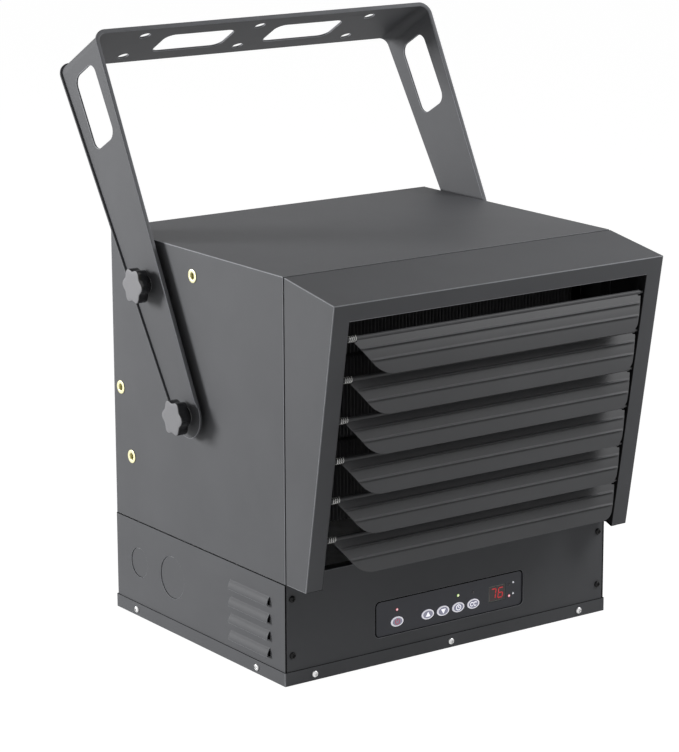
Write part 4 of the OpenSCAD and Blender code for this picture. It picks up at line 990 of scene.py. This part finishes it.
def finish_of(slot):
    """The finish of a record's material slot, made when it is first asked for."""
    scene = bpy.context.scene
    sheet, louvers, knobs = scene.heater_sheet, scene.heater_louvers, scene.heater_knobs
    controls, inside = scene.heater_controls, scene.heater_inside
    makers = {
        "cabinet_paint": lambda: coat(slot, sheet.paint),
        "louver_paint": lambda: coat(slot, louvers.paint, gloss=0.42, spread=0.08, bump=0.08),
        "galvanised_sheet": lambda: plating(slot, sheet.bare, gloss=0.34, stretch=2.0, line=0.002),
        "rack_sheet": lambda: plating(slot, (0.1, 0.095, 0.09), gloss=0.5, stretch=2.0, line=0.002),
        "guard_wire": lambda: coat(slot, (0.02, 0.02, 0.021), gloss=0.32),
        "motor_shell": lambda: coat(slot, (0.03, 0.03, 0.034), gloss=0.4),
        "bright_steel": lambda: plating(slot, inside.steel, gloss=0.22),
        "fan_blades": lambda: plating(slot, (0.55, 0.55, 0.56), gloss=0.3),
        "fin_black": lambda: coat(slot, (0.11, 0.11, 0.113), gloss=0.45, bump=0.05),
        "insulator": lambda: moulding(slot, (0.85, 0.83, 0.78), gloss=0.55),
        "spring_steel": lambda: plating(slot, (0.9, 0.9, 0.88), gloss=0.3, metallic=0.4),
        "spacer_black": lambda: moulding(slot, (0.02, 0.02, 0.02), gloss=0.5),
        "yellow_plating": lambda: plating(slot, inside.plating, gloss=0.26),
        "knob_plastic": lambda: two_tone(slot, "face", knobs.plastic, knobs.worn, 0.16, 0.5),
        "fascia_black": lambda: moulding(slot, controls.panel, gloss=0.36, grain=0.0003, bump=0.05,
                                         specular=0.38),
        # A black frame that paints the shadow round the panel's recess
        "gasket_black": lambda: coat(slot, (0.003, 0.003, 0.003), gloss=0.85, specular=0.02),
        # The buttons glow a little, though they are no lamps: painted light
        "button_grey": lambda: two_tone(slot, "rim", controls.button, controls.rim, 0.35, 0.3,
                                        painted_glow=0.48),
        "board_green": lambda: moulding(slot, (0.03, 0.12, 0.05), gloss=0.4),
        "display_glass": lambda: moulding(slot, (0.045, 0.008, 0.011), gloss=0.15, bump=0.02),
        "lit_red": lambda: lit(slot, controls.red, 0.25),
        "lit_green": lambda: lit(slot, controls.green, 0.5),
        "red_core": lambda: lit(slot, (1.0, 0.55, 0.6), 0.8),
        "green_core": lambda: lit(slot, (1.0, 0.95, 0.6), 0.8),
        "unlit": lambda: moulding(slot, (0.05, 0.045, 0.05), gloss=0.25),
        "terminal_plastic": lambda: moulding(slot, (0.75, 0.73, 0.66), gloss=0.45),
        "contactor_plastic": lambda: moulding(slot, (0.04, 0.04, 0.045), gloss=0.45),
        "coil_varnish": lambda: moulding(slot, (0.2, 0.09, 0.04), gloss=0.3, grain=0.0012,
                                         bump=0.4),
        "grommet_rubber": lambda: moulding(slot, (0.02, 0.02, 0.02), gloss=0.6),
        "black_screws": lambda: coat(slot, (0.012, 0.012, 0.013), gloss=0.3),
        # The white and red prints glow, though they are no lamps: painted light
        "print_white": lambda: moulding(slot, (0.88, 0.88, 0.94), gloss=0.4, painted_glow=0.9),
        "print_red": lambda: moulding(slot, (0.6, 0.1, 0.16), gloss=0.4, painted_glow=0.2),
        "print_grey": lambda: moulding(slot, (0.17, 0.21, 0.18), gloss=0.35),
    }
    if slot not in FINISHES:
        FINISHES[slot] = makers[slot]()
    return FINISHES[slot]


# Operators, one for each piece or group of like pieces

def ends(kind):
    """Names of a kind's nodes at the two pivots and the two locks."""
    return ["%s_%s_%s" % (end, kind, side) for end in ("pivot", "lock")
            for side in ("left", "right")]


class HeaterSheetMetal(bpy.types.Operator):
    """Round the folds and cut edges of the painted sheet and of the bare inner sheet"""
    bl_idname = "heater.sheet_metal"
    bl_label = "Sheet metal"

    def execute(self, context):
        # Seams get painted shade for the shadow in the gaps between sheets, and the cabinet and the hood get
        # painted shade on their inner faces
        seams = {"base_pan": ((2, 1, 0.0004),), "lower_box": ((2, 1, 0.0012), (1, -1, 0.0012)),
                 "cabinet": ((2, -1, 0.0006),)}
        for node in ("base_pan", "lower_box", "front_panel", "cabinet", "rear_panel", "hood"):
            folded(node + "_sheet", node, seams=seams.get(node, ()),
                   inner=node in ("cabinet", "hood"))
        folded("bracket_plate", "bracket", fold=0.0008, cut=0.0007)
        bracket_lips(context.scene.heater_sheet.lip)
        for node in ("deck", "fan_shroud", "motor_mount"):
            folded(node + "_sheet", node, fold=0.0006)
        for node in ("element_rack_left", "element_rack_right"):
            folded(node + "_sheet", node, "rack_sheet", fold=0.0006)
        return {"FINISHED"}


class HeaterLouverBlades(bpy.types.Operator):
    """Make the louver blades, each on its own pivot"""
    bl_idname = "heater.louver_blades"
    bl_label = "Louvers"

    def execute(self, context):
        sizes = context.scene.heater_louvers
        tree = louver_tree()
        named = ("half_width", "chord", "thickness", "bow", "rib_height", "rib_width", "hem", "pin")
        for number in range(1, 7):
            node = "louver_%d" % number
            pivot = PIVOT_OF[node + "_tilt"]
            baked(node + "_blade", tree, [((0, pivot.y, pivot.z), (0, 0, 0))], node,
                  open_angle=LOUVER_OPEN - FACE_LEAN, **{name: getattr(sizes, name)
                                                         for name in named})
        return {"FINISHED"}


class HeaterLouverSprings(bpy.types.Operator):
    """Coil the springs at the louvers' left ends"""
    bl_idname = "heater.louver_springs"
    bl_label = "Louver springs"

    def execute(self, context):
        sizes = context.scene.heater_louvers
        low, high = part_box("louver_springs")
        pivots = [PIVOT_OF["louver_%d_tilt" % number] for number in range(1, 7)]
        baked("louver_spring_coils", spring_tree(),
              [((low.x, pivot.y, pivot.z), (FACE_LEAN, 0, 0)) for pivot in pivots],
              "louver_springs", angle=80, span=high.x - low.x, radius=sizes.spring_radius,
              wire=sizes.spring_wire, straight=sizes.spring_wire, curls=sizes.spring_curls)
        return {"FINISHED"}


class HeaterFasteners(bpy.types.Operator):
    """Make the screws, rivet nuts, washers, spacers, collars and the grommet"""
    bl_idname = "heater.fasteners"
    bl_label = "Fasteners"

    def execute(self, context):
        tree, head_height, flange_height = screw_tree(), 0.0024, 0.001
        for node in ("pan_screws", "panel_screws", "motor_screws"):
            places = []
            for low, high in solids(node):
                axis = max(range(3), key=lambda i: high[i] - low[i])
                side = math.copysign(1, low[axis] + high[axis])
                side = -1 if node == "motor_screws" else side
                places.append(on_end(low, high, axis, side, head_height))
            baked(node + "_turned", tree, places, node)
        baked("rivet_nuts_turned", rivet_nut_tree(),
              [on_end(low, high, 0, math.copysign(1, low.x), flange_height)
               for low, high in solids("rivet_nuts")], "rivet_nuts")
        tree = ring_tree()
        rings = [("pivot_spacers", 0, 0.0082, 0.0006), ("element_insulators", 0, 0.0111, 0.001),
                 ("deck_grommet", 2, 0.018, 0.0015)]
        for node, axis, bore, fillet in rings + [(node, 0, 0.0082, 0.0004)
                                                 for node in ends("washer")]:
            boxes = solids(node)
            size = boxes[0][1] - boxes[0][0]
            baked(node + "_turned", tree, [on_end(low, high, axis, 1, high[axis] - low[axis])
                                           for low, high in boxes],
                  node, bore=bore, outer=size.y, length=size[axis], fillet=fillet)
        return {"FINISHED"}


class HeaterKnobSet(bpy.types.Operator):
    """Mould the four lobed knobs"""
    bl_idname = "heater.knobs"
    bl_label = "Knobs"

    def execute(self, context):
        sizes = context.scene.heater_knobs
        angles, half, head_height = around(144), sizes.neck / 2, 0.0132
        outline = [(sizes.width - sizes.lobe_depth
                    + sizes.lobe_depth * math.cos(sizes.lobes * a)) / 2 for a in angles]
        # The head's side view: height from its underside, inset, and 1 on the matt face
        head = [(0.0, 0.0012, 0), (0.0003, 0.0005, 0), (0.0010, 0.0, 0), (0.0118, 0.0, 0),
                (0.0127, 0.0002, 0), (0.0131, 0.0006, 1), (head_height, 0.0012, 1),
                (0.0131, 0.006, 1), (0.0131, 0.012, 1)]
        for node in ends("knob"):
            low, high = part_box(node)
            way, centre = math.copysign(1, low.x), (low + high) / 2
            base, tip = sorted((abs(low.x), abs(high.x)))
            under = tip - head_height
            neck = [(base, half - 0.0012), (base + 0.0004, half - 0.0008),
                    (base + 0.0026, half - 0.0008), (base + 0.0030, half), (under + 0.002, half)]

            def point(x, radius, angle):
                return Vector((way * x, centre.y + radius * math.cos(angle),
                               centre.z + radius * math.sin(angle)))

            def draw(bm):
                layer = bm.faces.layers.float.new("face")
                lofted(bm, [[point(under + rise, r - inset, a) for r, a in zip(outline, angles)]
                            for rise, inset, _ in head], layer, [mark for _, _, mark in head][1:])
                lofted(bm, [[point(x, r, a) for a in angles[::3]] for x, r in neck],
                       layer, [0] * len(neck))

            new_piece(node + "_moulded", drawn(node + "_moulded", draw, "knob_plastic"), node,
                      angle=38)
        return {"FINISHED"}


class HeaterControlPanel(bpy.types.Operator):
    """Make the control panel, its buttons with their signs, its lamps and its display"""
    bl_idname = "heater.control_panel"
    bl_label = "Control panel"

    def execute(self, context):
        folded("control_fascia_panel", "control_fascia", fold=0.0006, cut=0.0003)
        low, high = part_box("display_window")
        face_y = low.y - 0.0006
        self.shadow_frame(face_y)
        for node in ("power_button", "up_button", "down_button", "timer_button", "mode_button"):
            self.button(node, face_y)
        self.lamps(face_y)
        self.display(context, face_y, low, high)
        return {"FINISHED"}

    def print_on(self, name, finish, body, slot, draw):
        return new_piece(name, drawn(name, draw, finish), body=body, slot=slot)

    def shadow_frame(self, face_y):
        """A thin black frame round the panel's face, at the rim of the opening: a painted shadow of the opening's
        edge on the recessed face.
        """
        def loop(half_x, half_z, shift_x, middle_z, radius, lift):
            return [Vector((shift_x + sx * (half_x - radius) + radius * math.cos(a),
                            face_y - lift,
                            middle_z + sz * (half_z - radius) + radius * math.sin(a)))
                    for sx, sz, start in ((1, 1, 0), (-1, 1, 90), (-1, -1, 180), (1, -1, 270))
                    for a in (math.radians(start + 15 * k) for k in range(7))]

        def draw(bm):
            # Half sizes, shift, height of the middle and corner radius of both edges
            outer = (0.107, 0.0215, 0, 0.0525, 0.006)
            inner = (0.1053, 0.0203, 0.0011, 0.0518, 0.005)
            sunk, proud = -0.0001, 0.00012
            loops = [loop(*outer, sunk), loop(*outer, proud), loop(*inner, proud),
                     loop(*inner, sunk)]
            rows = [[bm.verts.new(p) for p in points] for points in loops]
            bridged(bm, rows + rows[:1])

        self.print_on("control_gasket", "gasket_black", "root", "fascia_black", draw)

    def button(self, node, face_y):
        """A button with a flange, a rim and a slightly domed face, and the sign on it."""
        flange, proud, dome, sunk, stem = 0.0012, 0.0007, 0.0003, 0.00245, 0.0018
        low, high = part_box(node)
        wide, tall = (high.x - low.x) / 2 - flange, (high.z - low.z) / 2 - flange
        middle = (low + high) / 2
        seat, front = face_y + sunk, face_y - proud

        def ring(y, half_x, half_z, count=48):
            return [Vector((middle.x + half_x * math.cos(a), y, middle.z + half_z * math.sin(a)))
                    for a in reversed(around(count))]

        # The side view: place, how far outside the face's edge, and 1 on the band up to there
        side = [(seat + 0.001, flange - 0.0002, 0), (seat + 0.0008, flange, 0),
                (seat + 0.0001, flange, 0), (seat, flange - 0.0003, 0), (seat, 0, 0),
                (front + 0.0004, 0, 0), (front + 0.0001, -0.00012, 1), (front, -0.0004, 1)]
        rings = [ring(y, wide + grow, tall + grow) for y, grow, _ in side]
        marks = [mark for _, _, mark in side[1:]]
        for share in (0.9, 0.84, 0.79, 0.77, 0.5, 0.2):
            rings.append(ring(front - dome * (1 - share * share), wide * share, tall * share))
            marks.append(1 if share > 0.78 else 0)

        def draw(bm):
            layer = bm.faces.layers.float.new("rim")
            lofted(bm, rings, layer, marks)
            lofted(bm, [ring(y, stem, stem, 16) for y in (high.y, seat + 0.0005)], layer, [0])

        new_piece(node + "_moulded", drawn(node + "_moulded", draw, "button_grey"), node)

        def place(x, z, lift):
            share = min(1.0, math.hypot(x / wide, z / tall))
            return Vector((middle.x + x, front - dome * (1 - share * share) - lift, middle.z + z))

        name = node.replace("button", "sign")
        self.print_on(name, "print_red" if node == "power_button" else "print_white",
                      BODY_OF[node], "button_grey", lambda bm: getattr(self, name)(
                          bm, dict(place=place, low=-0.00004, high=0.00015)))

    def power_sign(self, bm, band):
        print_band(bm, arc(0.0030, 125, 415, 28), 0.001, **band)
        prism(bm, [(-0.0005, 0.0002), (0.0005, 0.0002), (0.0005, 0.0040), (-0.0005, 0.0040)],
              **band)

    def up_sign(self, bm, band):
        prism(bm, [(-0.0033, -0.0024), (0.0033, -0.0024), (0, 0.0031)], **band)

    def down_sign(self, bm, band):
        prism(bm, [(0, -0.0031), (0.0033, 0.0024), (-0.0033, 0.0024)], **band)

    def timer_sign(self, bm, band):
        print_band(bm, arc(0.0031, 0, 360 - 360 / 32, 31), 0.0008, closed=True, **band)
        print_band(bm, [(0.0, 0.0019), (0.0, 0.0), (0.0014, -0.0008)], 0.0008, **band)

    def mode_sign(self, bm, band):
        for x, tip_x in ((-0.0026, -0.0010), (0.0022, 0.0038)):
            print_band(bm, arc(0.0021, 40, 310, 22, (x, 0)), 0.0008, **band)
            prism(bm, [(tip_x - 0.0009, 0.0013), (tip_x + 0.0009, 0.0013), (tip_x, 0.0025)], **band)

    def lamps(self, face_y):
        """Domed lamps: the unit lamp below and the power lamp are red, the timer lamp green."""
        kinds = ["lit_red", "lit_green", "unlit", "red_core", "green_core"]
        dome = [(-0.0001, 1.0), (0.0001, 0.97), (0.00025, 0.82), (0.00036, 0.55), (0.0004, 0.2)]
        # The power lamp stands left of the first limit, the unit lamp right of the second and
        # below the height, and the timer lamp left of the last
        power_x, unit_x, unit_z, timer_x = -0.05, 0.08, 0.05, 0.02

        def draw(bm):
            for low, high in solids("indicator_lamps"):
                x, z, radius = (low.x + high.x) / 2, (low.z + high.z) / 2, (high.x - low.x) / 2
                kind = "unlit"
                if x < power_x or (x > unit_x and z < unit_z):
                    kind = "lit_red"
                elif x < timer_x:
                    kind = "lit_green"
                profile = [(high.y, 0.8), (high.y - 0.0003, 1.0)]
                profile += [(face_y - lift, share) for lift, share in dome]
                faces = lofted(bm, [[Vector((x + radius * share * math.cos(a), y,
                                             z + radius * share * math.sin(a)))
                                     for a in reversed(around(24))] for y, share in profile])
                for face in faces:
                    core = kind != "unlit" and face.calc_center_median().y < face_y - 0.0003
                    face.material_index = kinds.index(kind.replace("lit_", "") + "_core"
                                                      if core else kind)

        new_piece("indicator_lamps_domed", drawn("indicator_lamps_domed", draw, *kinds),
                  "indicator_lamps", angle=60)

    def display(self, context, face_y, low, high):
        folded("display_window_glass", "display_window", fold=0.0005, cut=0.0003)
        middle, glass_y = (low + high) / 2, low.y
        slant = math.tan(context.scene.heater_controls.digit_slant)
        wide, tall, bar, gap, nick = 0.0076, 0.0128, 0.0012, 0.0028, 0.00015
        sunk, edge = -0.00005, 0.0005

        def at(y, shift=0.0, lean=0.0):
            return lambda x, z, lift: Vector((middle.x + shift + x + lean * z, y - lift,
                                              middle.z + z))

        def segment(bm, start, end, place):
            start, end = Vector(start), Vector(end)
            way = (end - start).normalized()
            off = Vector((-way.y, way.x)) * bar / 2
            a, b, point = start + way * nick, end - way * nick, way * bar / 2
            outline = [a, a + point - off, b - point - off, b, b - point + off, a + point + off]
            prism(bm, [(p.x, p.y) for p in outline], place, sunk, 0.0002)

        def digits(bm):
            w, h = (wide - bar) / 2, (tall - bar) / 2
            seven = [((-w, h), (w, h)), ((w, 0), (w, h)), ((w, -h), (w, 0))]
            six = [((-w, h), (w, h)), ((-w, 0), (-w, h)), ((-w, 0), (w, 0)), ((-w, -h), (-w, 0)),
                   ((w, -h), (w, 0)), ((-w, -h), (w, -h))]
            for side, bars in ((-1, seven), (1, six)):
                for start, end in bars:
                    segment(bm, start, end, at(glass_y, side * (wide + gap) / 2, slant))

        piece = self.print_on("display_digits_lit", "lit_red", "root", "lit_red", digits)
        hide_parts("display_digits")

        def outline(bm):
            half_w, half_h = (high.x - low.x) / 2 - edge, (high.z - low.z) / 2 - edge
            corners = [(-half_w, -half_h), (half_w, -half_h), (half_w, half_h), (-half_w, half_h)]
            print_band(bm, corners, 0.0008, at(glass_y), sunk, 0.0001, closed=True)

        self.print_on("display_outline", "print_grey", "root", "display_glass", outline)

        def degree_rings(bm):
            ring_x, ring_zs, radius, width = 0.0935, (0.0603, 0.0468), 0.0009, 0.0004
            for z in ring_zs:
                print_band(bm, arc(radius, 0, 345, 23, (ring_x - middle.x, z - middle.z)), width,
                           at(face_y), sunk, 0.00006, closed=True)

        self.print_on("degree_rings", "print_white", "root", "button_grey", degree_rings)


class HeaterBank(bpy.types.Operator):
    """Make the finned heating elements behind the louvers"""
    bl_idname = "heater.heating_bank"
    bl_label = "Heating elements"

    def execute(self, context):
        sizes = context.scene.heater_inside
        tree, half_row = element_tree(), 0.204
        for number in (1, 2, 3):
            node = "heating_element_%d" % number
            low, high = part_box(node)
            middle = (low + high) / 2
            fins = int((2 * half_row - sizes.fin_pitch) / sizes.fin_pitch)
            baked(node + "_finned", tree, [((0, middle.y, middle.z), (0, 0, 0))], node,
                  tube=sizes.tube, fin_depth=high.y - low.y, fin_height=high.z - low.z,
                  fin_thickness=sizes.fin_thickness, pitch=sizes.fin_pitch, fins=fins,
                  cold_end=-low.x)
        return {"FINISHED"}


class HeaterFanSet(bpy.types.Operator):
    """Make the fan, its wire guard and its motor"""
    bl_idname = "heater.fan_set"
    bl_label = "Fan and guard"

    def execute(self, context):
        sizes = context.scene.heater_inside
        low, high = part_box("fan_guard")
        turn, wire = (math.pi / 2, 0, 0), sizes.guard_wire
        baked("fan_guard_wires", guard_tree(), [((0, high.y, (low.z + high.z) / 2), turn)],
              "fan_guard", angle=60, radius=(high.x - low.x) / 2 - wire / 2, wire=wire)
        baked("fan_rotor_blades", fan_tree(), [(tuple(PIVOT_OF["fan_spin"]), turn)], "fan",
              angle=60, blades=sizes.blades)
        folded("fan_motor_shell", "fan_motor", fold=0.002, cut=0.0008)
        return {"FINISHED"}


class HeaterInnerParts(bpy.types.Operator):
    """Finish the parts in the lower box, the board, the cutout, the studs and the shaft"""
    bl_idname = "heater.inner_parts"
    bl_label = "Inner parts"

    def execute(self, context):
        for node in ("terminal_block", "contactors", "transformer", "ground_lug",
                     "overheat_cutout", "control_board", "fan_shaft"):
            folded(node + "_finished", node, fold=0.0008, cut=0.0003)
        for node in ends("stud"):
            folded(node + "_finished", node, fold=0.0006, cut=0.0005)
        return {"FINISHED"}


class HeaterStudio(bpy.types.Operator):
    """Set the pale floor, the soft lights, the white surroundings and the camera"""
    bl_idname = "heater.studio"
    bl_label = "Studio"

    def area(self, name, place, aim, size, power):
        data = bpy.data.lights.new(name, "AREA")
        data.energy, data.size = power, size
        lamp = linked(name, data)
        lamp.visible_camera = False
        lamp.location = place
        lamp.rotation_euler = (Vector(aim) - Vector(place)).to_track_quat("-Z", "Y").to_euler()

    def mixed(self, tree, share, plain, seen, end):
        """Ends a tree: rays that see the stage get a share of the second shader."""
        shader = got(tree, "ShaderNodeMixShader", {0: share, 1: plain, 2: seen})
        put(tree, end, {"Surface": shader})

    def rays(self, tree):
        """1 for rays that come from the camera or a glossy surface, and the path's wires."""
        tree.nodes.clear()
        path = wires(put(tree, "ShaderNodeLightPath"))
        return path, path["Is Camera Ray"].then("MAXIMUM", path["Is Glossy Ray"])

    def execute(self, context):
        scene, light = context.scene, context.scene.heater_stage
        scene.view_settings.view_transform = "Standard"
        scene.world = scene.world or bpy.data.worlds.new("Studio")
        scene.world.use_nodes = True
        tree = scene.world.node_tree
        path, seen = self.rays(tree)
        even, white = (got(tree, "ShaderNodeBackground", {"Color": WHITE, "Strength": strength})
                       for strength in (light.fill, 1.0))
        self.mixed(tree, seen.then("MAXIMUM", path["Is Transmission Ray"]), even, white,
                   "ShaderNodeOutputWorld")

        finish, tree = new_finish("studio_floor")
        _, seen = self.rays(tree)
        pale = got(tree, "ShaderNodeBsdfDiffuse", {"Color": (0.8, 0.8, 0.8, 1)})
        bright = got(tree, "ShaderNodeEmission", {"Color": WHITE, "Strength": 1.18})
        self.mixed(tree, seen * 0.82, pale, bright, "ShaderNodeOutputMaterial")

        def draw(bm):
            bmesh.ops.create_grid(bm, x_segments=12, y_segments=12, size=12)
            bmesh.ops.translate(bm, verts=bm.verts, vec=(0, 0, -0.0004))

        floor = linked("studio_floor", drawn("studio_floor", draw))
        floor.data.materials.append(finish)

        self.area("key_light", (-2.9, 2.35, 1.05), (0, 0, 0.3), 1.1, light.key_power)
        self.area("front_light", (0.85, -0.8, 1.1), (0.1, -0.2, 0.25), 0.6, light.front_power)

        data = bpy.data.cameras.new("camera")
        data.sensor_fit, data.sensor_height, data.lens = "VERTICAL", 36, 139.879
        camera = scene.camera = linked("camera", data)
        camera.location = (-1.95614, -2.70884, 1.10088)
        camera.rotation_euler = [math.radians(a) for a in (76.3033, 0.1954, -35.4791)]
        return {"FINISHED"}


STEPS = (HeaterSheetMetal, HeaterLouverBlades, HeaterLouverSprings, HeaterFasteners,
         HeaterKnobSet, HeaterControlPanel, HeaterBank, HeaterFanSet, HeaterInnerParts,
         HeaterStudio)
SETTINGS = {"heater_sheet": HeaterSheet, "heater_louvers": HeaterLouvers,
            "heater_knobs": HeaterKnobs, "heater_controls": HeaterControls,
            "heater_inside": HeaterInside, "heater_stage": HeaterStage}


class HeaterPanel(bpy.types.Panel):
    """Steps and settings of the garage heater"""
    bl_idname = "HEATER_PT_steps"
    bl_label = "Garage heater"
    bl_space_type = "VIEW_3D"
    bl_region_type = "UI"
    bl_category = "Heater"

    def draw(self, context):
        for step in STEPS:
            self.layout.operator(step.bl_idname)
        for label, kind in SETTINGS.items():
            box = self.layout.box()
            for setting in kind.__annotations__:
                box.prop(getattr(context.scene, label), setting)


def register():
    for kind in (*SETTINGS.values(), *STEPS, HeaterPanel):
        bpy.utils.register_class(kind)
    for label, kind in SETTINGS.items():
        setattr(bpy.types.Scene, label, bpy.props.PointerProperty(type=kind))


def unregister():
    for label in SETTINGS:
        delattr(bpy.types.Scene, label)
    for kind in (HeaterPanel, *reversed(STEPS), *reversed(SETTINGS.values())):
        bpy.utils.unregister_class(kind)


def main():
    register()
    for step in STEPS:
        group, name = step.bl_idname.split(".")
        getattr(getattr(bpy.ops, group), name)()


if __name__ == "__main__":
    main()
